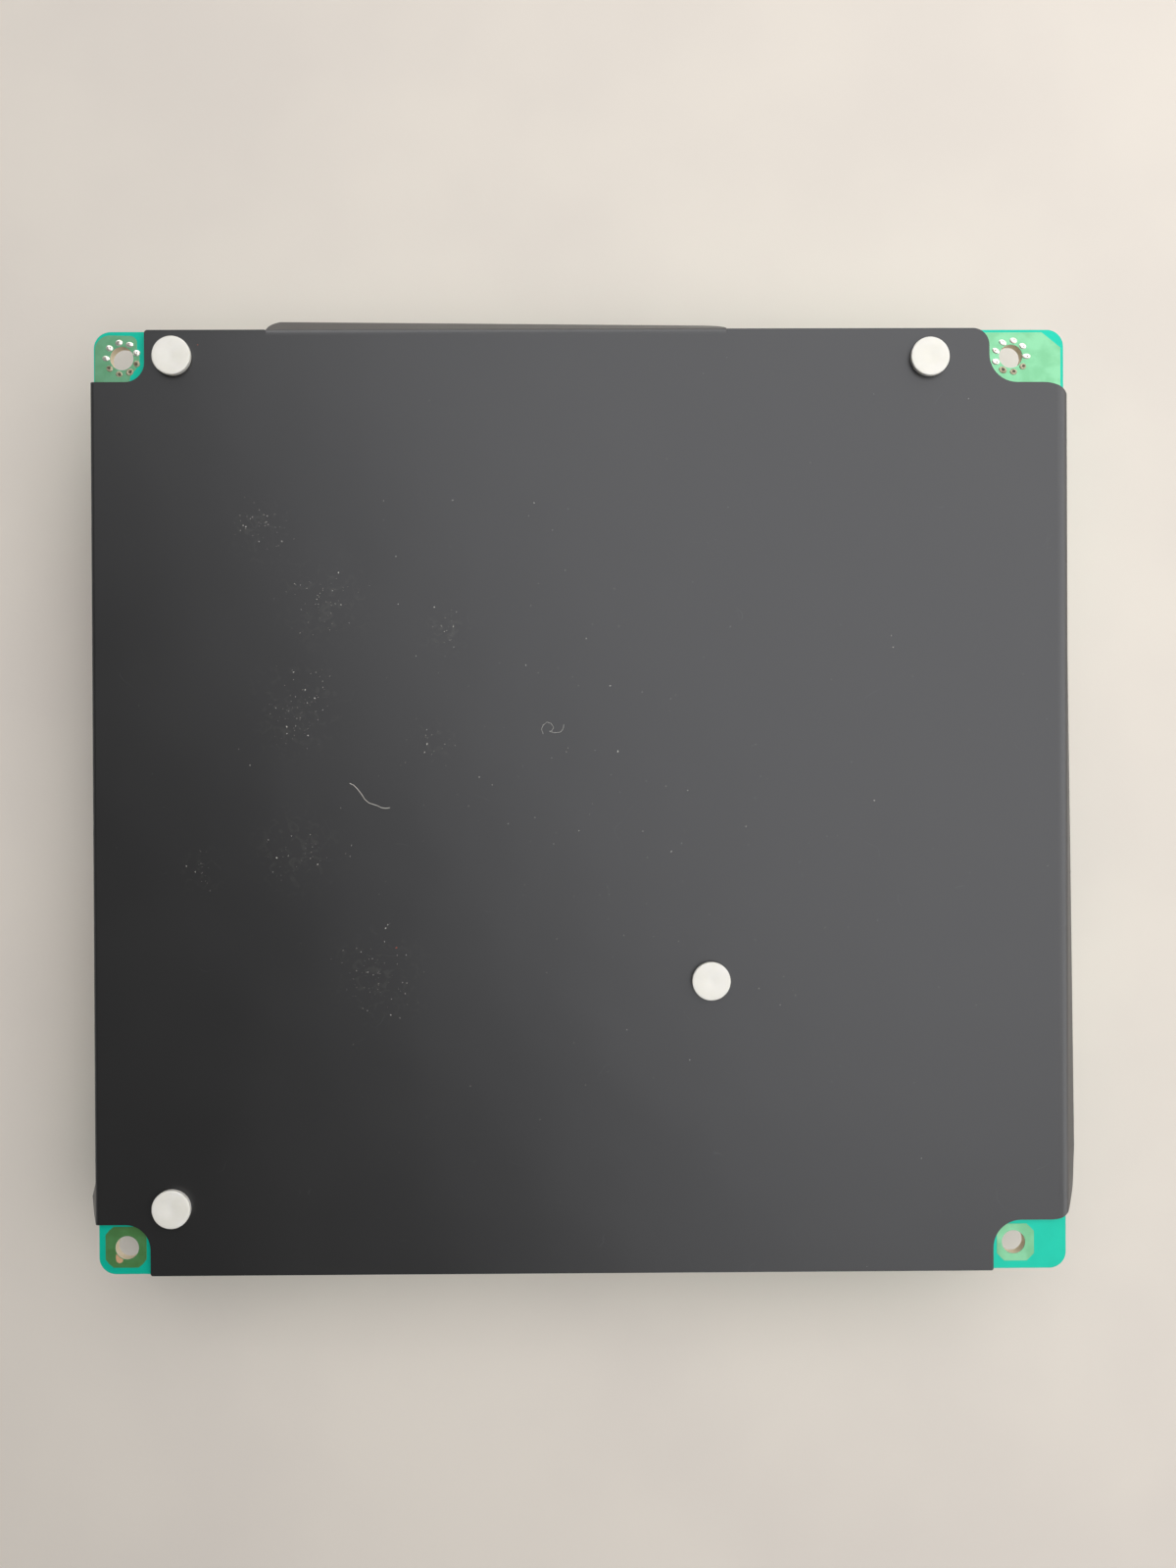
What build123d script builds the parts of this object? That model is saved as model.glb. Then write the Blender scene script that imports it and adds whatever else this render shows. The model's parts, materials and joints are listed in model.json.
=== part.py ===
from build123d import *
import os
from math import cos, pi, radians, sin, sqrt

os.makedirs("parts", exist_ok=True)

# A television power supply board, lying with its components down and its solder side up.
# Millimetres. +Z points out of the solder face, +X runs along the front edge to the right, and
# the origin is the centre of the four screw holes on the solder face, where the board is mounted.
# Everything under the board is placed on seat(), a plane on the component face that looks away
# from the board, so that a height above it is a height above the board.

# Board and screw pattern
screw_pitch = 160.0
screw_hole_r = 2.1
board_t = 1.6
board_corner_r = 3.0
margin_left = 5.0
margin_right = 9.5
margin_front = 4.75
margin_rear = 4.75
tall_h = 22.0

# Leads. Those that carry a heavy part go through the board, and their ends carry the sheet.
lead_w = 0.8
lead_clearance = 0.15
lead_stub = 0.7
lead_root = 1.0

# Solder-filled vias round the two rear screws
via_count = 9
via_ring_r = 2.85
via_r = 0.55
via_h = 0.3
via_sides = 6

# Insulating sheet
sheet_t = 0.4
sheet_inset = 0.05
flap_gap = 0.05
side_fold_r = 0.4
soft_fold_r = 2.2
tab_fold_r = 1.2
left_flap_l = 5.0
right_flap_l = 4.2
tab_l = 5.0
flap_corner_r = {"left": 1.5, "right": 3.0, "tab": 4.0}
flap_steps = 2
tab_from_left = 31.0
tab_to_right = 60.8
# Radii of the blank's corners where the right flap ends, at the rear and at the front
right_end_r = {1: 7.0, -1: 6.0}
# How far the flaps stand out from upright, in degrees, by the distance from their front ends, and
# for the rear tab by the distance from its left end
left_flare = {0.0: 26, 3.5: 29, 12.0: 8}
right_flare = {0.0: 30, 12.0: 36, 113.0: 22}
tab_flare = {0.0: 36, 41.0: 31}
last_flare = {"left": 4, "right": 19, "tab": 26}

# Snap rivets
rivet_shank_r = 1.5
rivet_hole_r = 1.75
rivet_head_r = 3.5
rivet_head_t = 1.1
rivet_barb_r = 2.3
rivet_barb_gap = 0.1
rivet_tip_r = 1.6
rivet_sides = 8
rivet_tip_l = 5.0
rivet_slot_w = 0.8

# Mains side
inlet_pitch = 7.92
inlet_h = 12.0
fuse_r = 2.6
fuse_glass_r = 2.4
fuse_l = 20.0
fuse_cap_l = 5.0
fuse_lift = 1.0
fuse_clip_t = 0.4
fuse_clip_gap = 0.05
fuse_clip_rise = 1.2
disc_lift = 3.0
varistor = (14.0, 5.0, 7.5)
thermistor = (11.0, 4.5, 5.0)
y_capacitor = (8.0, 3.5, 5.0)
mains_film = (25.0, 10.0, 18.0)
resonant_film = (18.0, 8.0, 14.0)
film_edge = 0.6
choke_core = (26.0, 22.0, 6.0)
choke_leg = 5.0
choke_coil_t = 3.2
choke_base_t = 1.6
choke_lead_inset = 2.0

# Converter
core_gap = 0.1
core_edge = 0.8
coil_edge = 1.5
bobbin_t = 1.0
flange_lip = 0.8
boost_core = (32.0, 30.0, 10.0, 5.0)
main_core = (42.0, 36.0, 11.0, 6.0)
standby_core = (22.0, 20.0, 7.0, 3.4)
standby_h = 15.0
main_pin_pitch = 5.0
standby_pin_pitch = 3.0
boost_pins = 3
main_pins = 4
standby_pins = 3
bulk_d = 21.0
bulk_l = 38.0
bulk_pitch = 7.5
bulk_lead_l = 2.5
lying_gap = 0.3

# Heat sinks and what is clipped to them
plate_t = 3.0
fin_t = 1.5
fin_l = 7.0
sink_lug_inset = 4.0
primary_sink_l = 58.0
primary_fins = 10
bridge_sink_l = 26.0
bridge_fins = 4
secondary_sink_l = 46.0
secondary_fins = 8
package_w = 10.0
package_t = 4.5
package_h = 9.2
package_lift = 4.0
leg_setback = 2.7
leg_pitch = 2.54
tab_t = 1.3
tab_top = 19.5
bridge_w = 25.0
bridge_t = 3.6
bridge_h = 15.0
bridge_edge = 3.0
bridge_leg_pitch = 5.0
clip_t = 0.5
clip_w = 4.0
clip_gap = 0.05
clip_hook_l = 8.0
clip_press_l = 3.0

# Output side
output_can_d = 12.5
output_can_h = 20.0
rod_choke_d = 10.0
rod_choke_h = 18.0
driver_inductor_w = 26.0
driver_inductor_h = 14.0
driver_inductor_edge = 3.0
dip_pitch = 7.62
dip_w = 6.4
dip_t = 3.4
dip_lift = 0.8
controller_pins_a_side = 4
optocoupler_pins_a_side = 2
output_pitch = 2.5
output_pins = 8
lamp_pins = 3
header_depth = 6.0
header_h = 9.0
header_wall = 1.0
header_setback = 6.0
pin_w = 0.64

half_pitch = screw_pitch / 2
board_left = -half_pitch - margin_left
board_right = half_pitch + margin_right
board_front = -half_pitch - margin_front
board_rear = half_pitch + margin_rear
component_z = -board_t
sheet_top = lead_stub + sheet_t
sink_h = tall_h - clip_t - clip_gap

# Places, as (x, y) on the board. Those near an edge are measured from it.
rivet_places = {
    "rear_left": (board_left + 14.5, board_rear - 4.9),
    "rear_right": (board_right - 24.6, board_rear - 5.4),
    "middle": (25.3, -32.2),
    "front_left": (board_left + 13.6, board_front + 12.3),
}
# How far each corner notch of the sheet reaches inwards past its screw, its inner radius, and the
# radius where its side meets the front or rear edge of the sheet
notches = {
    (-1, 1): (4.4, 4.6, 3.5, 0.6),
    (1, 1): (4.2, 5.0, 5.0, 3.0),
    (-1, -1): (4.6, 4.5, 4.5, 0.4),
    (1, -1): (4.0, 4.4, 5.0, 0.4),
}
inlet_at = (board_left + 8.0, 58.0)
fuse_at = (-61.0, 61.0)
varistor_at = (-46.0, 76.0)
thermistor_at = (-46.0, 66.0)
first_film_at = (-43.0, 54.0)
second_film_at = (-40.0, 28.0)
first_choke_at = (-67.0, 31.0)
second_choke_at = (-43.0, 3.0)
y_capacitors_at = [(-79.0, 12.0), (-79.0, 2.0)]
bridge_sink_at = (-70.5, -9.0)
boost_choke_at = (-65.0, -36.0)
bulk_at = [(-31.0, -61.0), (-7.0, -61.0)]
primary_sink_at = (-15.0, -30.0)
main_transformer_at = (-3.0, 2.0)
resonant_at = (-13.0, 32.0)
standby_transformer_at = (-8.0, 60.0)
controller_at = (-32.0, 74.0)
optocouplers_at = [(14.0, 36.0), (14.0, 47.0)]
secondary_sink_at = (37.0, 22.0)
output_cans_at = [(54.0, 45.0), (68.0, 45.0), (54.0, 31.0)]
rod_choke_at = (68.0, 31.0)
driver_inductor_at = (52.0, -55.0)
output_header_at = (board_right - header_setback, 18.0)
lamp_header_at = (board_right - header_setback, -48.0)

lead_places = []


def seat(at, turn=0.0):
    """The component face at a place, looking away from the board, turned about Z."""
    x_dir = (cos(radians(turn)), sin(radians(turn)), 0)
    return Plane(origin=(*at, component_z), x_dir=x_dir, z_dir=(0, 0, -1))


def upright(base):
    """The plane that stands on a seat along its x direction, its y pointing away from the board."""
    return Plane(origin=base.origin, x_dir=base.x_dir, z_dir=-base.y_dir)


def spot(base, u, v, w=0.0):
    """A location on a seat: along, across and above it."""
    return base.location * Location((u, v, w))


def leads(base, spots, reach):
    """Square leads from `reach` above the board through it to the sheet. Each place gets a hole."""
    for u, v in spots:
        place = spot(base, u, v).position
        lead_places.append((place.X, place.Y))
        with Locations((place.X, place.Y, lead_stub)):
            Box(lead_w, lead_w, lead_stub + board_t + reach, align=(Align.CENTER, Align.CENTER, Align.MAX))


def legs(base, spots, reach):
    """Leads of a light part, which stop where they meet the board."""
    for u, v in spots:
        with Locations(spot(base, u, v)):
            Box(lead_w, lead_w, reach, align=(Align.CENTER, Align.CENTER, Align.MIN))


def row(count, pitch):
    """The places of `count` things in a centred row."""
    return [(i - (count - 1) / 2) * pitch for i in range(count)]


def save(piece, label):
    piece.part.label = label
    export_step(piece.part, f"parts/{label}.step")


# ---------------------------------------------------------------- mains side


def film_capacitor(label, base, size):
    """A potted box capacitor, standing on the board on its own rim."""
    length, width, height = size
    with BuildPart() as capacitor:
        with BuildSketch(base):
            Rectangle(length, width)
            chamfer(vertices(), film_edge)
        extrude(amount=height)
    save(capacitor, label)


def disc_part(label, base, size):
    """A dipped disc that stands on two leads: varistor, thermistor or ceramic capacitor."""
    diameter, thickness, pitch = size
    with BuildPart() as disc:
        with BuildSketch(upright(base)):
            with Locations((0, disc_lift + diameter / 2)):
                Circle(diameter / 2)
        extrude(amount=thickness / 2, both=True)
        legs(base, [(-pitch / 2, 0), (pitch / 2, 0)], disc_lift + diameter / 4)
    save(disc, label)


def pin_header(label, base, pitch, count, height):
    """An open wafer header: a floor with a latch wall at the back and a row of square pins."""
    length = pitch * count + 2 * header_wall
    pins = [(u, 0) for u in row(count, pitch)]
    floor_t = height / 3
    with BuildPart() as header:
        with BuildSketch(base):
            Rectangle(length, header_depth)
        extrude(amount=floor_t)
        with BuildSketch(base):
            with Locations((0, (header_depth - header_wall) / 2)):
                Rectangle(length, header_wall)
        extrude(amount=height)
        with BuildSketch(base):
            with Locations(*pins):
                Rectangle(pin_w, pin_w)
        extrude(amount=height - header_wall)
        leads(base, pins, floor_t)
    save(header, label)


pin_header("mains_inlet", seat(inlet_at, 90), inlet_pitch, 2, inlet_h)

fuse_seat = seat(fuse_at)
fuse_w = fuse_lift + fuse_r
fuse_cap_v = (fuse_l - fuse_cap_l) / 2
with BuildPart() as fuse:
    with BuildSketch(upright(fuse_seat)):
        with Locations((0, fuse_w)):
            Circle(fuse_glass_r)
    extrude(amount=fuse_cap_v, both=True)
    for side in (-1, 1):
        with BuildSketch(upright(fuse_seat).offset(side * fuse_cap_v)):
            with Locations((0, fuse_w)):
                Circle(fuse_r)
        extrude(amount=fuse_cap_l / 2, both=True)
save(fuse, "fuse")

# A pair of sprung U clips, each with two arms that grip one cap of the fuse and flare at the top
with BuildPart() as fuse_clips:
    arm_u = fuse_r + fuse_clip_gap
    arm_w = fuse_lift + 2 * fuse_r
    for side in (-1, 1):
        clip_seat = seat((fuse_at[0], fuse_at[1] + side * fuse_cap_v))
        with BuildSketch(upright(clip_seat)):
            with BuildLine():
                Polyline(
                    (arm_u + fuse_clip_rise, arm_w + fuse_clip_rise),
                    (arm_u, arm_w),
                    (arm_u, fuse_clip_t),
                    (-arm_u, fuse_clip_t),
                    (-arm_u, arm_w),
                    (-arm_u - fuse_clip_rise, arm_w + fuse_clip_rise),
                )
                offset(amount=fuse_clip_t, side=Side.LEFT, kind=Kind.INTERSECTION)
            make_face()
        extrude(amount=fuse_cap_l / 2, both=True)
        leads(clip_seat, [(0, 0)], fuse_clip_t)
save(fuse_clips, "fuse_clips")

disc_part("varistor", seat(varistor_at), varistor)
disc_part("thermistor", seat(thermistor_at), thermistor)
film_capacitor("mains_film_capacitor_1", seat(first_film_at), mains_film)
film_capacitor("mains_film_capacitor_2", seat(second_film_at), mains_film)
for index, at in enumerate(y_capacitors_at, 1):
    disc_part(f"ceramic_capacitor_{index}", seat(at, 90), y_capacitor)


def line_choke(label, base):
    """A common-mode choke on a plastic base: a flat frame core with a coil on each long leg."""
    length, depth, stack = choke_core
    middle = choke_base_t + choke_coil_t + 2 * core_gap + stack / 2
    window = length - 2 * choke_leg
    across = Plane(base.location * Location((0, 0, middle), (0, 90, 0)))
    with BuildPart() as core:
        with BuildSketch(base.offset(middle)):
            Rectangle(length, depth)
            Rectangle(window, depth - 2 * choke_leg, mode=Mode.SUBTRACT)
        extrude(amount=stack / 2, both=True)
    save(core, f"{label}_core")
    hole_w = choke_leg + 2 * core_gap
    hole_h = stack + 2 * core_gap
    with BuildPart() as winding:
        with BuildSketch(across):
            with Locations(*[(0, v) for v in row(2, depth - choke_leg)]):
                Rectangle(hole_h + 2 * choke_coil_t, hole_w + 2 * choke_coil_t)
            chamfer(vertices(), coil_edge)
            with Locations(*[(0, v) for v in row(2, depth - choke_leg)]):
                Rectangle(hole_h, hole_w, mode=Mode.SUBTRACT)
        extrude(amount=window / 2 - core_gap, both=True)
    save(winding, f"{label}_winding")
    with BuildPart() as carrier:
        with BuildSketch(base):
            Rectangle(length, depth + 2 * choke_coil_t)
        extrude(amount=choke_base_t)
        corners = GridLocations(length - 2 * choke_lead_inset, depth - 2 * choke_lead_inset, 2, 2)
        leads(base, [(c.position.X, c.position.Y) for c in corners.local_locations], lead_root)
    save(carrier, f"{label}_base")


line_choke("line_choke_1", seat(first_choke_at, 90))
line_choke("line_choke_2", seat(second_choke_at))

# ---------------------------------------------------------------- wound parts and bulk storage


def wound_part(label, base, size, height, pin_pitch, pins_a_side):
    """A flat E-core part: two E halves round a bobbin, its coil, and rails with pins at each end."""
    length, depth, stack, wall = size
    window = length - 2 * wall
    window_d = (depth - 2 * wall - stack) / 2
    tube_w = stack + 2 * core_gap
    tube_outer_w = tube_w + 2 * bobbin_t
    coil_w = depth - 2 * wall - 4 * core_gap
    coil_l = window - 2 * core_gap - 2 * bobbin_t
    rail_h = (height - stack) / 2
    across = Plane(base.location * Location((0, 0, height / 2), (0, 90, 0)))
    rails = row(2, length - wall)
    with BuildPart() as core:
        with BuildSketch(base.offset(rail_h)):
            Rectangle(length, depth)
            chamfer(vertices(), core_edge)
            with GridLocations(0, stack + window_d, 1, 2):
                Rectangle(window, window_d, mode=Mode.SUBTRACT)
        extrude(amount=stack)
    save(core, f"{label}_core")
    with BuildPart() as bobbin:
        with BuildSketch(across):
            Rectangle(tube_outer_w, tube_outer_w)
        extrude(amount=coil_l / 2, both=True)
        for side in (-1, 1):
            with BuildSketch(across.offset(side * (coil_l + bobbin_t) / 2)):
                Rectangle(height, coil_w)
            extrude(amount=bobbin_t / 2, both=True)
        with BuildSketch(base):
            with Locations(*[(u, 0) for u in rails]):
                Rectangle(wall + 2 * core_gap + 2 * bobbin_t, depth)
        extrude(amount=rail_h)
        with BuildSketch(across):
            Rectangle(tube_w, tube_w)
        extrude(amount=length, both=True, mode=Mode.SUBTRACT)
        leads(base, [(u, v) for u in rails for v in row(pins_a_side, pin_pitch)], lead_root)
    save(bobbin, f"{label}_bobbin")
    with BuildPart() as winding:
        with BuildSketch(across):
            Rectangle(height - 2 * flange_lip, coil_w - 2 * flange_lip)
            chamfer(vertices(), coil_edge)
            Rectangle(tube_outer_w, tube_outer_w, mode=Mode.SUBTRACT)
        extrude(amount=coil_l / 2, both=True)
    save(winding, f"{label}_winding")


wound_part("boost_choke", seat(boost_choke_at), boost_core, tall_h, main_pin_pitch, boost_pins)
wound_part("main_transformer", seat(main_transformer_at), main_core, tall_h, main_pin_pitch, main_pins)
standby_seat = seat(standby_transformer_at)
wound_part("standby_transformer", standby_seat, standby_core, standby_h, standby_pin_pitch, standby_pins)

# Bulk capacitors lie on the board, their leads bent down beside the end of the can
for index, at in enumerate(bulk_at, 1):
    base = seat(at)
    axis_h = bulk_d / 2 + lying_gap
    with BuildPart() as can:
        with BuildSketch(upright(base)):
            with Locations((0, axis_h)):
                Circle(bulk_d / 2)
        extrude(amount=bulk_l / 2, both=True)
        bend_v = bulk_l / 2 + bulk_lead_l
        for u in row(2, bulk_pitch):
            with Locations(spot(base, u, -bend_v - lead_w / 2, axis_h)):
                Box(lead_w, bulk_lead_l + lead_w, lead_w, align=(Align.CENTER, Align.MIN, Align.CENTER))
        leads(base, [(u, -bend_v) for u in row(2, bulk_pitch)], axis_h + lead_w / 2)
    save(can, f"bulk_capacitor_{index}")

film_capacitor("resonant_capacitor", seat(resonant_at), resonant_film)

# ---------------------------------------------------------------- heat sinks and power packages


def fin_pitch(length, fins):
    """The distance between the fins of a heat sink, from one end of its plate to the other."""
    return (length - fin_t) / (fins - 1)


def heat_sink(label, base, length, fins):
    """An extruded aluminium comb: a plate that stands on the board with fins along its back."""
    with BuildPart() as sink:
        with BuildSketch(base):
            Rectangle(length, plate_t)
            with Locations(*[(u, -(plate_t + fin_l) / 2) for u in row(fins, fin_pitch(length, fins))]):
                Rectangle(fin_t, fin_l)
        extrude(amount=sink_h)
        lug_u = length / 2 - sink_lug_inset
        leads(base, [(-lug_u, 0), (lug_u, 0)], lead_root)
    save(sink, label)


def power_package(label, base):
    """A three-legged package with a metal tab, its back on the seat's x axis."""
    back = upright(base)
    with BuildPart() as package:
        with BuildSketch(back):
            with Locations((0, package_lift + package_h / 2)):
                Rectangle(package_w, package_h)
        extrude(amount=-package_t)
        with BuildSketch(back):
            with Locations((0, (package_lift + tab_top) / 2)):
                Rectangle(package_w, tab_top - package_lift)
        extrude(amount=-tab_t)
        legs(base, [(u, leg_setback) for u in row(3, leg_pitch)], package_lift + lead_root)
    save(package, label)


def package_clip(base, thickness, top):
    """A spring strip hooked over the edge of the plate, pressing on the face of a package."""
    with BuildPart() as clip:
        with BuildSketch(Plane(origin=base.origin, x_dir=base.y_dir, z_dir=base.x_dir)):
            with BuildLine():
                Polyline(
                    (-plate_t - clip_gap, sink_h - clip_hook_l),
                    (-plate_t - clip_gap, sink_h + clip_gap),
                    (tab_t + clip_gap, sink_h + clip_gap),
                    (thickness + clip_gap, top),
                    (thickness + clip_gap, top - clip_press_l),
                )
                offset(amount=clip_t, side=Side.LEFT, kind=Kind.INTERSECTION)
            make_face()
        extrude(amount=clip_w / 2, both=True)
    return clip.part


# Packages stand between the fins, so that their clips hook into the gaps
primary_pitch = fin_pitch(primary_sink_l, primary_fins)
primary_seats = {
    label: seat((primary_sink_at[0] + k * primary_pitch, primary_sink_at[1] + plate_t / 2), 180)
    for k, label in zip((-3, -1, 1, 3), ("boost_switch", "boost_diode", "bridge_switch_1", "bridge_switch_2"))
}
secondary_pitch = fin_pitch(secondary_sink_l, secondary_fins)
secondary_seats = {
    label: seat((secondary_sink_at[0] + plate_t / 2, secondary_sink_at[1] + k * secondary_pitch), 90)
    for label, k in (("output_rectifier_1", -2), ("output_rectifier_2", 2))
}
bridge_seat = seat((bridge_sink_at[0], bridge_sink_at[1] + plate_t / 2), 180)

heat_sink("primary_heat_sink", seat(primary_sink_at, 180), primary_sink_l, primary_fins)
heat_sink("secondary_heat_sink", seat(secondary_sink_at, 90), secondary_sink_l, secondary_fins)
heat_sink("bridge_heat_sink", seat(bridge_sink_at, 180), bridge_sink_l, bridge_fins)
for label, base in (primary_seats | secondary_seats).items():
    power_package(label, base)

# The bridge is one moulded block with a cut corner that marks its positive leg
with BuildPart() as bridge_rectifier:
    with BuildSketch(upright(bridge_seat)):
        with Locations((0, package_lift + bridge_h / 2)):
            Rectangle(bridge_w, bridge_h)
            chamfer(vertices().sort_by(Axis.Z).group_by(Axis.Z)[0].sort_by(Axis.X)[0], bridge_edge)
    extrude(amount=-bridge_t)
    legs(bridge_seat, [(u, bridge_t / 2) for u in row(4, bridge_leg_pitch)], package_lift + lead_root)
save(bridge_rectifier, "bridge_rectifier")

with BuildPart() as package_clips:
    for base in [*primary_seats.values(), *secondary_seats.values()]:
        add(package_clip(base, package_t, package_lift + package_h))
    add(package_clip(bridge_seat, bridge_t, package_lift + bridge_h))
save(package_clips, "package_clips")

# ---------------------------------------------------------------- output side


def standing_can(label, base, diameter, height):
    """A standing can, flush on the board."""
    with BuildPart() as can:
        with BuildSketch(base):
            Circle(diameter / 2)
        extrude(amount=height)
    save(can, label)


def dual_in_line(label, base, pins_a_side):
    """A small moulded package with a row of flat legs on each side."""
    middle_w = dip_lift + dip_t / 2
    with BuildPart() as chip:
        with BuildSketch(base.offset(dip_lift)):
            Rectangle(pins_a_side * leg_pitch, dip_w)
        extrude(amount=dip_t)
        for u in row(pins_a_side, leg_pitch):
            with Locations(spot(base, u, 0, middle_w)):
                Box(lead_w, dip_pitch + lead_w, lead_w / 2)
        legs(base, [(u, v) for u in row(pins_a_side, leg_pitch) for v in row(2, dip_pitch)], middle_w)
    save(chip, label)


dual_in_line("standby_controller", seat(controller_at), controller_pins_a_side)
for index, at in enumerate(optocouplers_at, 1):
    dual_in_line(f"optocoupler_{index}", seat(at, 90), optocoupler_pins_a_side)
for index, at in enumerate(output_cans_at, 1):
    standing_can(f"output_capacitor_{index}", seat(at), output_can_d, output_can_h)

# A rod choke in its shrink sleeve is as plain as a small can
standing_can("output_choke", seat(rod_choke_at), rod_choke_d, rod_choke_h)

driver_seat = seat(driver_inductor_at)
with BuildPart() as driver_inductor:
    with BuildSketch(driver_seat):
        Rectangle(driver_inductor_w, driver_inductor_w)
        chamfer(vertices(), driver_inductor_edge)
    extrude(amount=driver_inductor_h)
save(driver_inductor, "driver_inductor")

pin_header("output_header", seat(output_header_at, 90), output_pitch, output_pins, header_h)
pin_header("lamp_header", seat(lamp_header_at, 90), output_pitch, lamp_pins, header_h)

# ---------------------------------------------------------------- board and vias

with BuildPart() as circuit_board:
    with BuildSketch():
        with Locations(((board_left + board_right) / 2, (board_front + board_rear) / 2)):
            RectangleRounded(board_right - board_left, board_rear - board_front, board_corner_r)
        with GridLocations(screw_pitch, screw_pitch, 2, 2):
            Circle(screw_hole_r, mode=Mode.SUBTRACT)
        with Locations(*rivet_places.values()):
            Circle(rivet_hole_r, mode=Mode.SUBTRACT)
        with Locations(*lead_places):
            Rectangle(lead_w + 2 * lead_clearance, lead_w + 2 * lead_clearance, mode=Mode.SUBTRACT)
    extrude(amount=-board_t)
save(circuit_board, "circuit_board")

# Solder stands a little proud of each via that ties the rear screws to the board's ground
with BuildPart() as via_solder:
    for side, turn in ((-1, 180), (1, 0)):
        with BuildSketch():
            with Locations((side * half_pitch, half_pitch)):
                with PolarLocations(via_ring_r, via_count, start_angle=turn):
                    RegularPolygon(via_r, via_sides)
    extrude(amount=via_h)
save(via_solder, "via_solder")

# ---------------------------------------------------------------- insulating sheet


def fold_start(fold_r):
    """How far inside the board's edge a fold starts, so that its inside clears the board's corner."""
    drop = lead_stub - fold_r
    if drop >= 0:
        return flap_gap - fold_r
    return -sqrt((fold_r - flap_gap) ** 2 - drop**2)


def flare_at(distance, bends):
    """The flare at a distance along an edge, eased from one named bend of the flap to the next."""
    for (start, before), (end, after) in zip(bends, bends[1:]):
        if distance <= end:
            return before + (after - before) * (1 - cos(pi * (distance - start) / (end - start))) / 2
    return bends[-1][1]


def flap(edge_point, outward, bends, fold_r, length, corner_r):
    """A flap lofted along a board edge. Each bend is (distance along the edge, flare in degrees)."""
    up = Vector(0, 0, 1)
    out = Vector(*outward)
    along = out.cross(up)
    origin = Vector(*edge_point)
    centre = (fold_start(fold_r), lead_stub - fold_r)
    least = radians(min(flare for _, flare in bends))
    bottom = centre[1] + fold_r * sin(least) - length * cos(least)
    first, last = bends[0][0], bends[-1][0]
    stations = [first]
    for (start, _), (end, _) in zip(bends, bends[1:]):
        stations += [start + (end - start) * (step + 1) / flap_steps for step in range(flap_steps)]
    span = 2 * (length + fold_r + sheet_top)
    with BuildPart() as strip:
        for distance in stations:
            flare = flare_at(distance, bends)
            tip = Vector(sin(radians(flare)), -cos(radians(flare))) * length
            with BuildSketch(Plane(origin=origin + along * distance, x_dir=out, z_dir=along)):
                with BuildLine():
                    inside = CenterArc(centre, fold_r, 90, flare - 90)
                    outside = CenterArc(centre, fold_r + sheet_t, 90, flare - 90)
                    Polyline(inside @ 1, inside @ 1 + tip, outside @ 1 + tip, outside @ 1)
                    Line(inside @ 0, outside @ 0)
                make_face()
        loft(ruled=True)
        with BuildSketch(Plane(origin=origin, x_dir=along, z_dir=-out)):
            with Locations(((first + last) / 2, bottom + span / 2)):
                RectangleRounded(last - first, span, corner_r)
        extrude(amount=span, both=True, mode=Mode.INTERSECT)
    return strip.part


def notch_edge(side_x, side_y):
    """The inner corner of the sheet's notch round one screw."""
    reach_x, reach_y, _, _ = notches[(side_x, side_y)]
    return side_x * (half_pitch - reach_x), side_y * (half_pitch - reach_y)


tab_left = board_left + tab_from_left
tab_right = board_right - tab_to_right
panel_left = board_left - fold_start(side_fold_r)
panel_right = board_right + fold_start(soft_fold_r)
panel_front = board_front + sheet_inset
panel_rear = board_rear - sheet_inset
tab_root = board_rear + fold_start(tab_fold_r)
# A square this wide, cut from a notch's inner corner outwards, clears the corner of the board
notch_span = half_pitch

left_front, left_rear = notch_edge(-1, -1)[1], notch_edge(-1, 1)[1]
left_bends = [(left_front + distance, flare) for distance, flare in left_flare.items()]
left_bends.append((left_rear, last_flare["left"]))
left_edge = (board_left, 0, 0)
left_flap = flap(left_edge, (-1, 0, 0), left_bends, side_fold_r, left_flap_l, flap_corner_r["left"])

# Distances along the right edge run from the rear to the front
right_front, right_rear = notch_edge(1, -1)[1], notch_edge(1, 1)[1]
right_bends = [(-right_front - distance, flare) for distance, flare in right_flare.items()]
right_bends.append((-right_rear, last_flare["right"]))
right_bends.reverse()
right_edge = (board_right, 0, 0)
right_flap = flap(right_edge, (1, 0, 0), right_bends, soft_fold_r, right_flap_l, flap_corner_r["right"])
right_reach = right_flap.bounding_box().max.X

tab_bends = [(tab_left + distance, flare) for distance, flare in tab_flare.items()]
tab_bends.append((tab_right, last_flare["tab"]))
rear_tab = flap((0, board_rear, 0), (0, 1, 0), tab_bends, tab_fold_r, tab_l, flap_corner_r["tab"])

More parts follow.
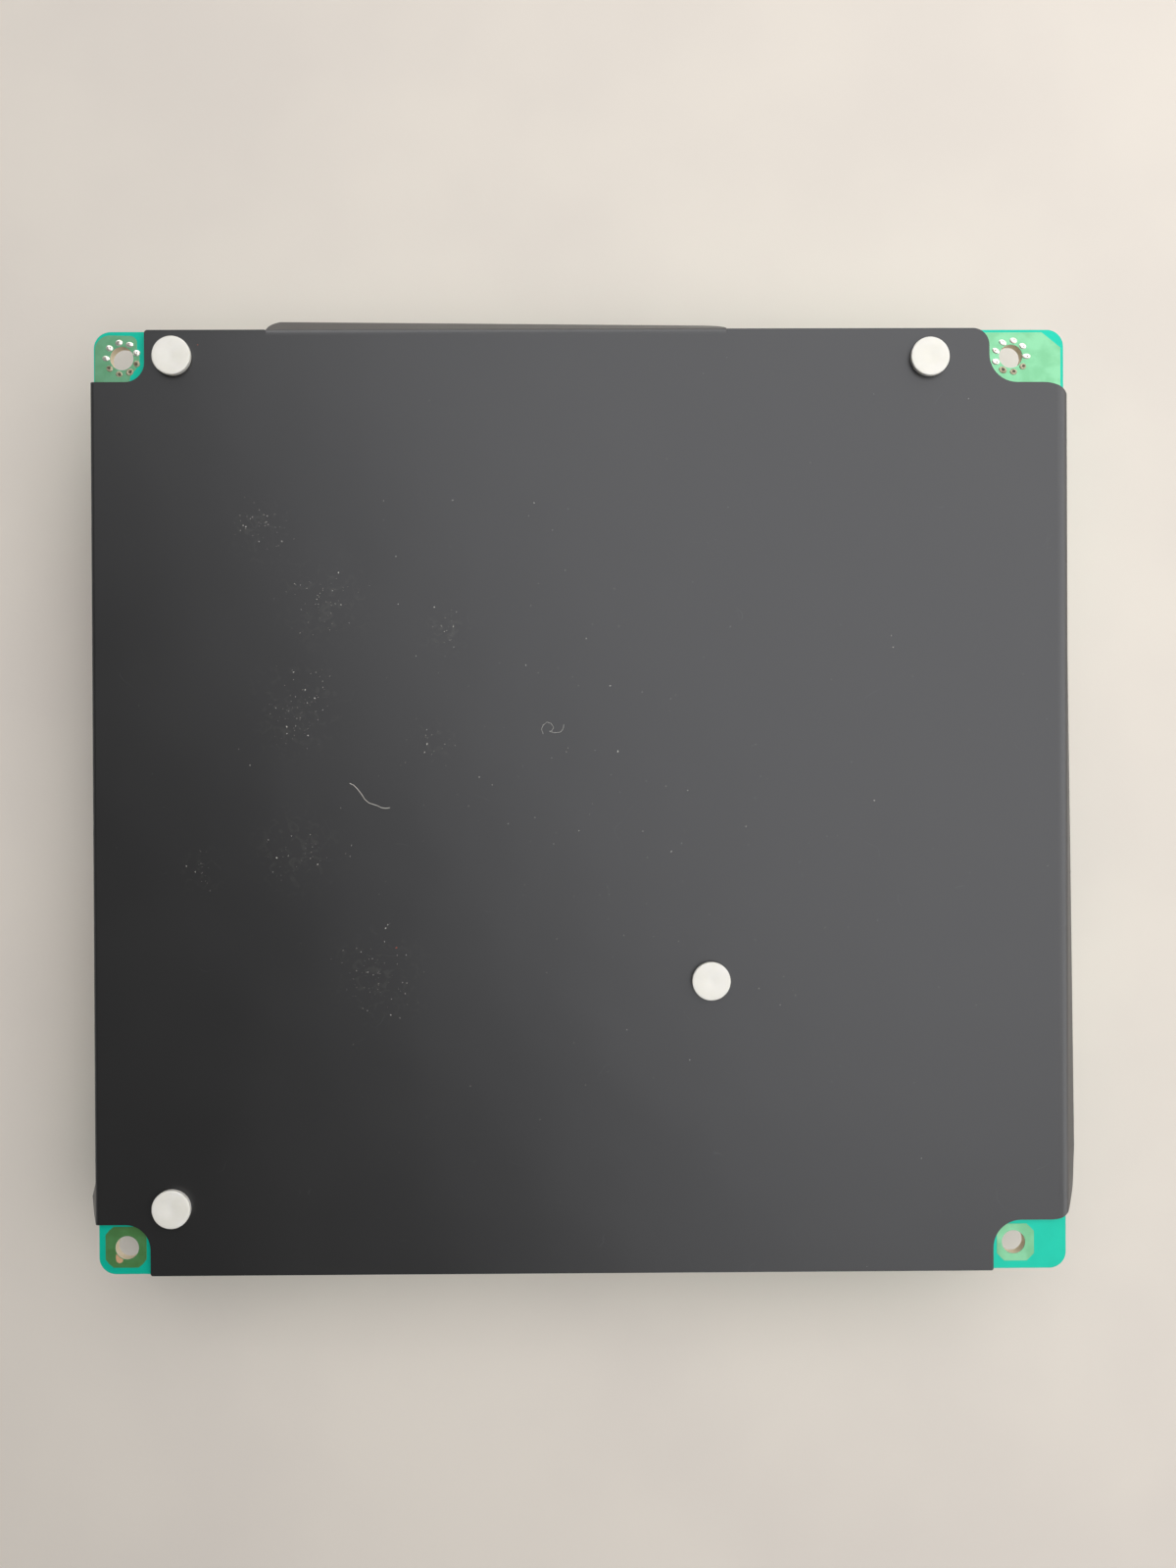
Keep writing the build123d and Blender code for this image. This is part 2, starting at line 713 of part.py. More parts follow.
with BuildPart() as insulating_sheet:
    with BuildSketch(Plane.XY.offset(lead_stub)):
        with Locations(((panel_left + panel_right) / 2, (panel_front + panel_rear) / 2)):
            Rectangle(panel_right - panel_left, panel_rear - panel_front)
        for (side_x, side_y), (_, _, inner_r, mouth_r) in notches.items():
            x, y = notch_edge(side_x, side_y)
            with Locations((x + side_x * notch_span / 2, y + side_y * notch_span / 2)):
                RectangleRounded(notch_span, notch_span, inner_r, mode=Mode.SUBTRACT)
            mouth = (x, panel_rear if side_y > 0 else panel_front)
            fillet(vertices().sort_by_distance(mouth)[0], radius=mouth_r)
        with Locations(*rivet_places.values()):
            Circle(rivet_hole_r, mode=Mode.SUBTRACT)
        with Locations(((tab_left + tab_right) / 2, tab_root)):
            tab_w = tab_right - tab_left
            Rectangle(tab_w, margin_rear, align=(Align.CENTER, Align.MIN), mode=Mode.SUBTRACT)
    extrude(amount=sheet_t)
    add(left_flap)
    add(right_flap)
    add(rear_tab)
    # The blank's round corners at both ends of the right flap, cut square to the board
    for side, end_r in right_end_r.items():
        end = notch_edge(1, side)[1]
        with BuildSketch(Plane.XY.offset(sheet_top)):
            with Locations((right_reach - end_r / 2, end - side * end_r / 2)):
                Rectangle(end_r, end_r)
            with Locations((right_reach - end_r, end - side * end_r)):
                Circle(end_r, mode=Mode.SUBTRACT)
        extrude(amount=-tall_h, mode=Mode.SUBTRACT)
save(insulating_sheet, "insulating_sheet")

# ---------------------------------------------------------------- snap rivets


def snap_rivet(label, at):
    """A one-piece nylon rivet: flat head on the sheet, split shank through the board, barbed tip."""
    tip_z = component_z - rivet_barb_gap - rivet_tip_l
    with BuildPart() as rivet:
        with BuildSketch(Plane(origin=(*at, sheet_top))):
            Circle(rivet_head_r)
        extrude(amount=rivet_head_t)
        with BuildSketch(Plane(origin=(*at, tip_z))):
            RegularPolygon(rivet_shank_r, rivet_sides)
        extrude(amount=sheet_top - tip_z)
        with BuildSketch(Plane(origin=(*at, tip_z))):
            RegularPolygon(rivet_tip_r, rivet_sides)
        with BuildSketch(Plane(origin=(*at, tip_z + rivet_tip_l))):
            RegularPolygon(rivet_barb_r, rivet_sides)
        loft()
        with Locations((*at, tip_z)):
            slot_align = (Align.CENTER, Align.CENTER, Align.MIN)
            Box(rivet_slot_w, 2 * rivet_head_r, rivet_tip_l + board_t, align=slot_align, mode=Mode.SUBTRACT)
    save(rivet, label)


for place, at in rivet_places.items():
    snap_rivet(f"snap_rivet_{place}", at)
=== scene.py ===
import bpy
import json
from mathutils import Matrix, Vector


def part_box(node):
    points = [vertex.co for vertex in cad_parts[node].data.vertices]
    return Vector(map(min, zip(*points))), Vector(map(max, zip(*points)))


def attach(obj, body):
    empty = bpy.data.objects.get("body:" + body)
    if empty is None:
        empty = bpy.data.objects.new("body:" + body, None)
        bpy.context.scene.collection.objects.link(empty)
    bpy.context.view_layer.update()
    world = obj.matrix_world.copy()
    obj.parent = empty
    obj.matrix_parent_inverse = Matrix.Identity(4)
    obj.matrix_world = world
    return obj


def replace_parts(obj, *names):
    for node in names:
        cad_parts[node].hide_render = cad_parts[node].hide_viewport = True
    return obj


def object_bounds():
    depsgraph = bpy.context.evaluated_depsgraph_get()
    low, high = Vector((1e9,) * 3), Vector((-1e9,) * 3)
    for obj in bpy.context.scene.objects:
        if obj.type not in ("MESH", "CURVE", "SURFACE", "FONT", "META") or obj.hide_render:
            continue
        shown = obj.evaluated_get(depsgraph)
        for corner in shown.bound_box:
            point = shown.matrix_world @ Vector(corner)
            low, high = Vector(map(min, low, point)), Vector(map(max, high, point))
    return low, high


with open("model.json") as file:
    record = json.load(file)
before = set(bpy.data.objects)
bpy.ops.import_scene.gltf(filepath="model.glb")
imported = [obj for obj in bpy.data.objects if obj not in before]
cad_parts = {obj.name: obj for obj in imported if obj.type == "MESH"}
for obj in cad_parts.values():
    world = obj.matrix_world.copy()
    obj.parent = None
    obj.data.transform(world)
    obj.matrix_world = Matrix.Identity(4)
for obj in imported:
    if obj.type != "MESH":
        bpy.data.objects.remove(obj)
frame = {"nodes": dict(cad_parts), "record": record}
cad_box = [list(corner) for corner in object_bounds()]

import json
import math
import random

import bmesh
import bpy
from mathutils import Matrix, Vector

# ---------------------------------------------------------------- camera
# A power supply board lies with its solder side up, under its insulating sheet. The camera looks
# straight down on it from close by, as a hand-held phone does. Sizes are written in millimetres
# and angles in degrees.
MM = 0.001
camera_at = (2.3, 3.95, 204.2)
camera_tilt = (-0.214, -0.311, -0.264)
camera = bpy.data.objects.new("camera", bpy.data.cameras.new("camera"))
camera.location = Vector(camera_at) * MM
camera.rotation_euler = [math.radians(part) for part in camera_tilt]
camera.data.lens = 26.0
camera.data.sensor_width = 36.0
camera.data.clip_start = 0.005
bpy.context.scene.collection.objects.link(camera)
bpy.context.scene.camera = camera

# ---------------------------------------------------------------- softbox, side panels and room
# One large softbox hangs over the board, turned so that its edge crosses the sheet's reflection
# and leaves the front left corner dark. Two low panels, right and rear, only show as gloss. The
# room is dim, but pale to the camera, in gloss and through what is clear.
bpy.context.scene.view_settings.view_transform = "Standard"


def soft_light(name, size, radiance, location, turn):
    """An area light of even brightness: its size and place in metres, its turn in degrees."""
    lamp = bpy.data.objects.new(name, bpy.data.lights.new(name, "AREA"))
    lamp.data.shape = "RECTANGLE"
    lamp.data.size, lamp.data.size_y = size
    lamp.data.energy = radiance * math.pi * size[0] * size[1]
    lamp.data.color = (1.0, 0.985, 0.96)
    lamp.location = location
    lamp.rotation_euler = [math.radians(part) for part in turn]
    bpy.context.scene.collection.objects.link(lamp)
    return lamp


soft_light("softbox", (1.15, 1.2), 2.3, (0.41, 0.247, 0.6), (0, 0, 25))
right_panel = soft_light("right_panel", (0.7, 1.8), 1.97, (0.95, 0.0, 0.35), (0, 90, 0))
rear_panel = soft_light("rear_panel", (1.8, 0.7), 2.3, (0.0, 0.95, 0.35), (-90, 0, 0))
for panel in (right_panel, rear_panel):
    panel.visible_diffuse = False


def feed(tree, node, inputs):
    """Fills a node's inputs: a socket is linked, and any other value is set."""
    for key, value in inputs.items():
        if isinstance(value, bpy.types.NodeSocket):
            tree.links.new(value, node.inputs[key])
        else:
            node.inputs[key].default_value = value
    return node


def put(tree, kind, inputs=None, **settings):
    """Adds a shader node with its inputs. The settings are its own properties."""
    made = tree.nodes.new("ShaderNode" + kind)
    for key, value in settings.items():
        setattr(made, key, value)
    return feed(tree, made, inputs or {})


def maths(tree, operation, a, b=0.0):
    """One step of arithmetic."""
    return put(tree, "Math", {0: a, 1: b}, operation=operation).outputs[0]


def spread(tree, value, start, end, to_start=0.0, to_end=1.0, smooth=False):
    """A value mapped from one range to another, and held at the ends."""
    kind = "SMOOTHSTEP" if smooth else "LINEAR"
    ends = {"From Min": start, "From Max": end, "To Min": to_start, "To Max": to_end}
    return put(tree, "MapRange", {"Value": value, **ends}, interpolation_type=kind).outputs["Result"]


def seen_directly(tree, gloss_share=1.0):
    """1 for what the camera sees, itself or through something clear, and the share that gloss sees."""
    ray = put(tree, "LightPath").outputs
    plain = maths(tree, "MAXIMUM", ray["Is Camera Ray"], ray["Is Transmission Ray"])
    return maths(tree, "MAXIMUM", plain, maths(tree, "MULTIPLY", ray["Is Glossy Ray"], gloss_share))


dim_room, pale_room = 0.06, 0.85
room = bpy.data.worlds.new("room")
room.use_nodes = True
bpy.context.scene.world = room
tree = room.node_tree
# Gloss shows the pale room only low down, where its walls are, and not overhead
height = put(tree, "SeparateXYZ", {"Vector": put(tree, "TexCoord").outputs["Generated"]}).outputs["Z"]
seen = seen_directly(tree, spread(tree, height, 0.2, 0.45, 1.0, 0.0, smooth=True))
feed(tree, tree.nodes["Background"], {
    "Strength": spread(tree, seen, 0.0, 1.0, dim_room, pale_room), "Color": (0.97, 0.98, 1.0, 1),
})

# ---------------------------------------------------------------- insulating sheet
# A die-cut black polypropylene film, folded down over three edges of the board. It has a fine
# matt grain, faint waves where it isn't held down, hairline scratches and hazy smudges.


def mix(tree, factor, a, b):
    """A colour between a and b."""
    return put(tree, "Mix", {0: factor, 6: a, 7: b}, data_type="RGBA").outputs[2]


def colour(red, green, blue):
    """A linear colour from the usual 0 to 255 steps of a screen colour."""
    parts = [part / 255 for part in (red, green, blue)]
    return [part / 12.92 if part < 0.04045 else ((part + 0.055) / 1.055) ** 2.4 for part in parts] + [1]


def millimetres(tree, stretch=(1, 1, 1)):
    """The point on the object, in millimetres, stretched along an axis where that is asked."""
    place = put(tree, "TexCoord").outputs["Object"]
    scale = [part / MM for part in stretch]
    return put(tree, "Mapping", {"Vector": place, "Scale": scale}).outputs["Vector"]


def bump(tree, height, distance, **inputs):
    """The surface's normal, bent by a height."""
    inputs |= {"Height": height, "Distance": distance, "Strength": 1.0}
    return put(tree, "Bump", inputs).outputs["Normal"]


def shader_group(name, inputs, outputs):
    """A node group with the sockets that it is given: its tree, what it is given and what it gives."""
    tree = bpy.data.node_groups.new(name, "ShaderNodeTree")
    kinds = {"value": "NodeSocketFloat", "colour": "NodeSocketColor", "vector": "NodeSocketVector"}
    for label, kind, value in inputs:
        tree.interface.new_socket(label, in_out="INPUT", socket_type=kinds[kind]).default_value = value
    for label, kind in outputs:
        tree.interface.new_socket(label, in_out="OUTPUT", socket_type=kinds[kind])
    return tree, tree.nodes.new("NodeGroupInput").outputs, tree.nodes.new("NodeGroupOutput")


def use(tree, group, **inputs):
    """Puts a shared group into a material and gives its outputs. Underscores stand for spaces."""
    made = put(tree, "Group", node_tree=group)
    return feed(tree, made, {key.replace("_", " "): value for key, value in inputs.items()}).outputs


# Finish, shared by most materials: broad drifts between two colours, uneven gloss and a fine
# grain in relief
finish, given, gives = shader_group(
    "finish",
    [("Colour", "colour", (1, 1, 1, 1)), ("Drift", "colour", (1, 1, 1, 1)), ("Drift Size", "value", 12.0),
     ("Rough", "value", 0.4), ("Rough Spread", "value", 0.1), ("Grain", "value", 0.3),
     ("Relief", "value", 0.01)],
    [("Colour", "colour"), ("Roughness", "value"), ("Normal", "vector")],
)
place = millimetres(finish)
broad_scale = maths(finish, "DIVIDE", 1.0, given["Drift Size"])
broad = put(finish, "TexNoise", {"Vector": place, "Scale": broad_scale, "Detail": 3.0}).outputs["Fac"]
fine_scale = maths(finish, "DIVIDE", 1.0, given["Grain"])
fine = put(finish, "TexNoise", {"Vector": place, "Scale": fine_scale, "Detail": 2.0}).outputs["Fac"]
drift = spread(finish, broad, 0.35, 0.65, smooth=True)
uneven = maths(finish, "MULTIPLY", maths(finish, "SUBTRACT", broad, 0.5), given["Rough Spread"])
depth = maths(finish, "MULTIPLY", given["Relief"], MM)
feed(finish, gives, {
    "Colour": mix(finish, drift, given["Colour"], given["Drift"]),
    "Roughness": maths(finish, "ADD", given["Rough"], uneven),
    "Normal": bump(finish, fine, depth),
})

# Scratches: thin hairlines in random directions, in patches
scratches, given, gives = shader_group(
    "scratches",
    [("Size", "value", 9.0), ("Width", "value", 0.01), ("Amount", "value", 0.5)],
    [("Mask", "value")],
)
place = millimetres(scratches)
bend = put(scratches, "TexNoise", {"Vector": place, "Scale": 0.11, "Detail": 1.0}).outputs["Color"]
bent = put(scratches, "VectorMath", {0: bend, 1: (14.0, 14.0, 14.0)}, operation="MULTIPLY").outputs[0]
moved = put(scratches, "VectorMath", {0: place, 1: bent}, operation="ADD").outputs[0]
cell_scale = maths(scratches, "DIVIDE", 1.0, given["Size"])
cells = put(scratches, "TexVoronoi", {"Vector": moved, "Scale": cell_scale}, feature="DISTANCE_TO_EDGE")
line = spread(scratches, cells.outputs["Distance"], 0.0, given["Width"], 1.0, 0.0)
patches = put(scratches, "TexNoise", {"Vector": place, "Scale": 0.16, "Detail": 2.0}).outputs["Fac"]
shown = spread(scratches, maths(scratches, "ADD", patches, given["Amount"]), 1.02, 1.1)
feed(scratches, gives, {"Mask": maths(scratches, "MULTIPLY", line, shown)})

# Specks: small grains of dust, denser in some places than in others
specks, given, gives = shader_group(
    "specks",
    [("Spacing", "value", 2.0), ("Size", "value", 0.12), ("Amount", "value", 0.5)],
    [("Mask", "value")],
)
place = millimetres(specks)
grid_scale = maths(specks, "DIVIDE", 1.0, given["Spacing"])
grains = put(specks, "TexVoronoi", {"Vector": place, "Scale": grid_scale})
dot = maths(specks, "LESS_THAN", grains.outputs["Distance"], given["Size"])
chance = put(specks, "SeparateColor", {"Color": grains.outputs["Color"]}).outputs[0]
kept = maths(specks, "LESS_THAN", chance, given["Amount"])
feed(specks, gives, {"Mask": maths(specks, "MULTIPLY", dot, kept)})


def new_material(name):
    """An empty node material: the material, its tree and its surface shader."""
    made = bpy.data.materials.new(name)
    made.use_nodes = True
    return made, made.node_tree, made.node_tree.nodes["Principled BSDF"]


def dress(name, material, bevel=0.0, segments=2):
    """Gives a CAD node its material, and rounds its sharp edges where that is asked."""
    piece = frame["nodes"][name]
    piece.data.materials.clear()
    piece.data.materials.append(material)
    if bevel:
        edge = piece.modifiers.new("edges", "BEVEL")
        edge.width = bevel * MM
        edge.segments = segments
        edge.limit_method = "ANGLE"
        edge.angle_limit = math.radians(40)
        edge.use_clamp_overlap = True


# The film's upper face, above the solder side of the board
sheet_top = 1.1
haze_strength, scratch_strength, speck_strength = 0.06, 0.16, 0.5
# Where the dust has gathered, as (x, y), how far it reaches along each, and how many grains
dusty = [
    ((-54.5, 49.0), (5, 4), 34), ((-43.5, 36.5), (7, 5), 42), ((-48.5, 17.0), (6, 7), 60),
    ((-49.0, -9.0), (8, 4), 26), ((-34.5, -31.0), (6, 7), 50), ((-22.0, 31.0), (2, 5), 18),
    ((-65.5, -12.0), (2, 4), 14), ((-24.0, 11.0), (3, 3), 10), ((5.0, 0.0), (60, 60), 120),
]
film, tree, shader = new_material("black_film")
out = use(tree, finish, Colour=colour(22, 21, 19), Drift=colour(26, 25, 23), Drift_Size=40.0, Rough=0.42,
          Rough_Spread=0.05, Grain=0.22, Relief=0.004)
marks = use(tree, scratches, Size=34.0, Width=0.0012, Amount=0.42)["Mask"]
dots = use(tree, specks, Spacing=2.2, Size=0.025, Amount=0.2)["Mask"]
place = millimetres(tree)
haze = 0.0
for (x, y), (reach_x, reach_y), _ in dusty[:-1]:
    off = put(tree, "VectorMath", {0: place, 1: (x, y, sheet_top)}, operation="DISTANCE").outputs["Value"]
    haze = maths(tree, "ADD", haze, spread(tree, off, 0.0, reach_x + reach_y, 1.0, 0.0, smooth=True))
wisps = put(tree, "TexNoise", {"Vector": place, "Scale": 0.5, "Detail": 5.0, "Distortion": 1.5})
haze = maths(tree, "MULTIPLY", haze, spread(tree, wisps.outputs["Fac"], 0.5, 0.72, smooth=True))
soiled = out["Colour"]
for mask, amount, look in ((haze, haze_strength, colour(150, 148, 138)),
                           (marks, scratch_strength, colour(120, 122, 124)),
                           (dots, speck_strength, colour(170, 170, 165))):
    soiled = mix(tree, maths(tree, "MULTIPLY", mask, amount), soiled, look)
waves = put(tree, "TexNoise", {"Vector": place, "Scale": 0.045, "Detail": 1.5}).outputs["Fac"]
feed(tree, shader, {
    "Base Color": soiled, "Roughness": out["Roughness"],
    "Normal": bump(tree, waves, 0.15 * MM, Normal=out["Normal"]),
    "Specular IOR Level": 0.755, "Specular Tint": (0.91, 0.932, 1.0, 1.0),
})
dress("insulating_sheet", film, bevel=0.08)

# ---------------------------------------------------------------- dust and fibres
# Pale grains lie in loose clusters over the left half of the sheet, a few of them bright, with
# two fibres among them. They only rest on the film.


def surface(name, main, drift, rough, grain=0.3, relief=0.01, drift_size=12.0, rough_spread=0.15, **plain):
    """A material with the shared finish. `plain` are values set on the shader's own sockets."""
    made, tree, shader = new_material(name)
    out = use(tree, finish, Colour=colour(*main), Drift=colour(*drift), Drift_Size=drift_size, Rough=rough,
              Rough_Spread=rough_spread, Grain=grain, Relief=relief)
    feed(tree, shader, {"Base Color": out["Colour"], "Roughness": out["Roughness"], "Normal": out["Normal"]})
    feed(tree, shader, {key.replace("_", " "): value for key, value in plain.items()})
    return made


def new_piece(name, form, slot, *materials, smooth=True, crease=35):
    """A piece of the scene's own from bmesh geometry in millimetres. It rides on the board."""
    bmesh.ops.recalc_face_normals(form, faces=form.faces)
    bmesh.ops.scale(form, vec=(MM, MM, MM), verts=form.verts)
    for face in form.faces:
        face.smooth = smooth
    for edge in form.edges:
        if len(edge.link_faces) == 2 and edge.calc_face_angle() > math.radians(crease):
            edge.smooth = False
    mesh = bpy.data.meshes.new(name)
    form.to_mesh(mesh)
    form.free()
    for material in materials:
        mesh.materials.append(material)
    piece = bpy.data.objects.new(name, mesh)
    bpy.context.scene.collection.objects.link(piece)
    if slot:
        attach(piece, "root")
    return piece


def join_rings(form, one, other):
    """Joins two rings of corners by a strip of faces."""
    strip = zip(one, one[1:] + one[:1], other[1:] + other[:1], other)
    return [form.faces.new(corners) for corners in strip]


def sweep(form, points, radius, sides=8, closed=False):
    """A round wire along a path. It keeps its sides in line from one bend to the next."""
    path = [Vector(point) for point in points]
    count = len(path)
    rings = []
    side = None
    for index, point in enumerate(path):
        before = path[index - 1] if closed or index else point
        after = path[(index + 1) % count] if closed or index < count - 1 else point
        along = (after - before).normalized()
        side = side - along * side.dot(along) if side else along.orthogonal()
        side.normalize()
        other = along.cross(side)
        angles = [2 * math.pi * step / sides for step in range(sides)]
        spokes = [side * math.cos(angle) + other * math.sin(angle) for angle in angles]
        rings.append([form.verts.new(point + spoke * radius) for spoke in spokes])
    for here, there in zip(rings, rings[1:] + rings[:1] if closed else rings[1:]):
        join_rings(form, here, there)
    if not closed:
        form.faces.new(rings[0])
        form.faces.new(rings[-1])


def grain_at(form, x, y, size):
    """One flat grain of dust with an uneven outline."""
    spot = Vector((x, y, sheet_top + 0.005))
    stretch = random.uniform(1.0, 2.2)
    turn = Matrix.Rotation(random.uniform(0, math.pi), 3, "Z")
    corners = []
    for step in range(6):
        angle = math.pi * step / 3
        reach = size * random.uniform(0.6, 1.1)
        point = Vector((reach * stretch * math.cos(angle), reach * math.sin(angle), 0))
        corners.append(form.verts.new(spot + turn @ point))
    peak = form.verts.new(spot + Vector((0, 0, size * 0.5)))
    for one, other in zip(corners, corners[1:] + corners[:1]):
        form.faces.new((one, other, peak))


def settled(centre, reach, flat=72.0):
    """A place in a cluster of dust, kept to the flat of the film."""
    return [max(-flat, min(flat, random.gauss(middle, far / 2))) for middle, far in zip(centre, reach)]


random.seed(21)
grit = surface("grit", (196, 194, 186), (150, 146, 138), 0.8, grain=0.1, drift_size=0.5)
lint = surface("lint", (240, 238, 232), (226, 224, 216), 0.7, grain=0.1, drift_size=0.5)
rust = surface("rust_grain", (214, 110, 84), (170, 84, 60), 0.7, grain=0.1, drift_size=0.3)
grains = bmesh.new()
bright = bmesh.new()
for centre, reach, count in dusty:
    for number in range(count):
        grain_at(grains, *settled(centre, reach), random.choice((0.03, 0.035, 0.04, 0.05, 0.065)))
        if number % 5 == 0:
            grain_at(bright, *settled(centre, reach), random.uniform(0.045, 0.075))
new_piece("dust_grains", grains, "sheet_black", grit, smooth=False)
for x, y, size in [
    (-41.1, 41.2, 0.12), (-40.7, 35.5, 0.09), (-20.6, 54.1, 0.09), (-30.8, 44.1, 0.08), (-47.2, 20.3, 0.09),
    (-50.5, 13.7, 0.1), (-46.7, 12.1, 0.1), (-25.4, 10.5, 0.1), (-57.1, 6.8, 0.1), (-52.4, -9.8, 0.11),
    (-45.1, -11.0, 0.09), (-33.0, -22.5, 0.09), (-32.6, -21.9, 0.08), (8.8, 9.0, 0.1), (18.3, -9.0, 0.1),
    (58.3, 27.5, 0.1), (54.8, 0.0, 0.09), (-57.6, 49.5, 0.1), (-24.0, 35.0, 0.08),
]:
    grain_at(bright, x, y, size)
new_piece("bright_grains", bright, "sheet_black", lint, smooth=False)
red_grains = bmesh.new()
grain_at(red_grains, -31.1, -26.0, 0.11)
grain_at(red_grains, -66.0, 82.0, 0.08)
new_piece("red_grains", red_grains, "sheet_black", rust, smooth=False)

fibres = bmesh.new()
long_fibre = [
    (-39.3, 3.5), (-38.6, 3.2), (-38.0, 2.6), (-37.2, 1.6), (-36.6, 0.6), (-35.9, 0.0), (-35.2, -0.25),
    (-34.4, -0.5), (-33.6, -0.9), (-32.8, -1.0), (-32.1, -0.9),
]
curl = [
    (-4.6, 12.2), (-4.9, 13.0), (-4.6, 13.8), (-3.9, 14.3), (-3.2, 14.1), (-2.7, 13.4), (-3.0, 12.8),
    (-3.5, 12.7), (-2.6, 12.4), (-1.5, 12.5), (-1.0, 13.1), (-0.9, 13.9),
]
sweep(fibres, [(x, y, sheet_top + 0.04) for x, y in long_fibre], 0.04, sides=6)
sweep(fibres, [(x, y, sheet_top + 0.025) for x, y in curl], 0.022, sides=6)
new_piece("fibres", fibres, "sheet_black", lint)

# ---------------------------------------------------------------- circuit board
# Glass-epoxy laminate under green solder mask, which looks teal over bare laminate. The sawn edges
# and the drilled holes show the tan laminate.
mask_rough, laminate_rough = 0.34, 0.75
mask, tree, shader = new_material("solder_mask")
out = use(tree, finish, Colour=colour(20, 197, 171), Drift=colour(17, 189, 163), Drift_Size=9.0, Grain=0.35,
          Relief=0.004)
facing = put(tree, "SeparateXYZ", {"Vector": put(tree, "NewGeometry").outputs["Normal"]}).outputs["Z"]
flat = spread(tree, maths(tree, "ABSOLUTE", facing), 0.3, 0.6)
glass = put(tree, "TexNoise", {"Vector": millimetres(tree, (1, 1, 8)), "Scale": 1.2}).outputs["Fac"]
laminate = mix(tree, glass, colour(246, 234, 212), colour(230, 212, 182))
feed(tree, shader, {
    "Base Color": mix(tree, flat, laminate, out["Colour"]), "Normal": out["Normal"],
    "Roughness": spread(tree, flat, 0, 1, laminate_rough, mask_rough),
    "Metallic": maths(tree, "MULTIPLY", flat, 0.2), "Specular IOR Level": 0.2,
})
dress("circuit_board", mask)

# ---------------------------------------------------------------- copper lands at the screws
# Etched copper under the mask stands a little proud of the laminate, with rounded outlines:
# grounding areas at the rear screws and cut-corner pads at the front ones.


def limits(name):
    """The lowest and the highest corner of a node, in millimetres."""
    return [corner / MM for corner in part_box(name)]


copper_mask = surface(
    "mask_over_copper", (120, 181, 143), (108, 169, 130), 0.36, grain=0.3, relief=0.012,
    drift_size=3.0, Metallic=0.64, Specular_IOR_Level=0.3,
)
# A darker, more olive copy of the copper mask, with painted shade, for the front left pad, whose gloss catches
# less of the softbox
shaded_copper_mask = surface(
    "mask_over_shaded_copper", (105, 167, 104), (96, 152, 90), 0.4, grain=0.3, relief=0.012,
    drift_size=3.0, Metallic=0.6, Specular_IOR_Level=0.3,
)
copper_t = 0.04
screws = frame["record"]["mounts"][0]["dims"]
half_pitch = screws["spacing_x_mm"] / 2
hole_r = screws["hole_r_mm"]


def arc(centre, radius, start, end, steps=12):
    """Points along an arc, from one angle in degrees to another."""
    angles = [math.radians(start + (end - start) * step / steps) for step in range(steps + 1)]
    return [(centre[0] + radius * math.cos(a), centre[1] + radius * math.sin(a)) for a in angles]


def plate(form, outline, hole, radius, base, top):
    """A flat plate with one round hole, from its outline."""
    loops = []
    for points in (outline, arc(hole, radius, 0, 360, 48)[:-1]):
        ring = [form.verts.new((x, y, top)) for x, y in points]
        loops += [form.edges.new(pair) for pair in zip(ring, ring[1:] + ring[:1])]
    made = bmesh.ops.triangle_fill(form, use_beauty=True, use_dissolve=False, edges=loops)["geom"]
    faces = [face for face in made if isinstance(face, bmesh.types.BMFace)]
    inside = [f for f in faces if (f.calc_center_median().xy - Vector(hole)).length < radius * 0.98]
    bmesh.ops.delete(form, geom=inside, context="FACES")
    grown = bmesh.ops.extrude_edge_only(form, edges=[edge for edge in loops if edge.is_valid])["geom"]
    for corner in grown:
        if isinstance(corner, bmesh.types.BMVert):
            corner.co.z = base


def land(name, outline, hole, look=copper_mask):
    """One copper area round a screw hole."""
    form = bmesh.new()
    plate(form, outline, hole, hole_r + 0.02, 0.0, copper_t)
    new_piece(name, form, "board_laminate", look)


# The board's edges, and the side of it that the components stand on
(left, front, component_z), (right, rear, _) = limits("circuit_board")
land_reach = half_pitch - 6
land("copper_rear_left", [
    (left + 0.15, land_reach),
    (1.0 - half_pitch, land_reach),
    *arc((-half_pitch, half_pitch), 3.2, -60, 30),
    *arc((1.4 - half_pitch, rear - 2.1), 1.4, 20, 90),
    *arc((left + 2.9, rear - 3.3), 2.7, 95, 180),
], (-half_pitch, half_pitch))
land("copper_rear_right", [
    (land_reach, land_reach),
    (right - 0.5, land_reach),
    (right - 0.5, rear - 3.2),
    (right - 3.9, rear - 0.45),
    (land_reach, rear - 0.45),
], (half_pitch, half_pitch))


def cut_corner_pad(name, hole, reach, cut, centre, look=copper_mask):
    """A square pad with cut corners round a front screw. Its edges bow out a little."""
    x, y = hole[0] + centre[0], hole[1] + centre[1]
    corners = []
    for quarter in range(4):
        for step in range(-2, 3):
            angle = math.radians(45 + 90 * quarter + step * 14)
            across, along = abs(math.cos(angle)), abs(math.sin(angle))
            far = min(reach / max(across, along), (2 * reach - cut) / (across + along) + 0.05 * abs(step))
            corners.append((x + far * math.cos(angle), y + far * math.sin(angle)))
    land(name, corners, hole, look)


cut_corner_pad("copper_front_right", (half_pitch, -half_pitch), 3.35, 1.3, (0.35, -0.05))
# The front left pad takes the darker copy, with painted shade
cut_corner_pad("copper_front_left", (-half_pitch, -half_pitch), 3.68, 1.3, (-0.2, 0.1), shaded_copper_mask)

# The mask is scraped off beside the front left screw, where the tan laminate shows
scraped = surface("scraped_laminate", (214, 170, 136), (200, 154, 118), 0.7, grain=0.2, relief=0.02)
ragged = [
    (-1.95, -1.1), (-1.35, -1.75), (-0.7, -2.1), (-0.85, -2.55), (-1.4, -2.8), (-1.9, -2.5), (-2.05, -1.8),
]


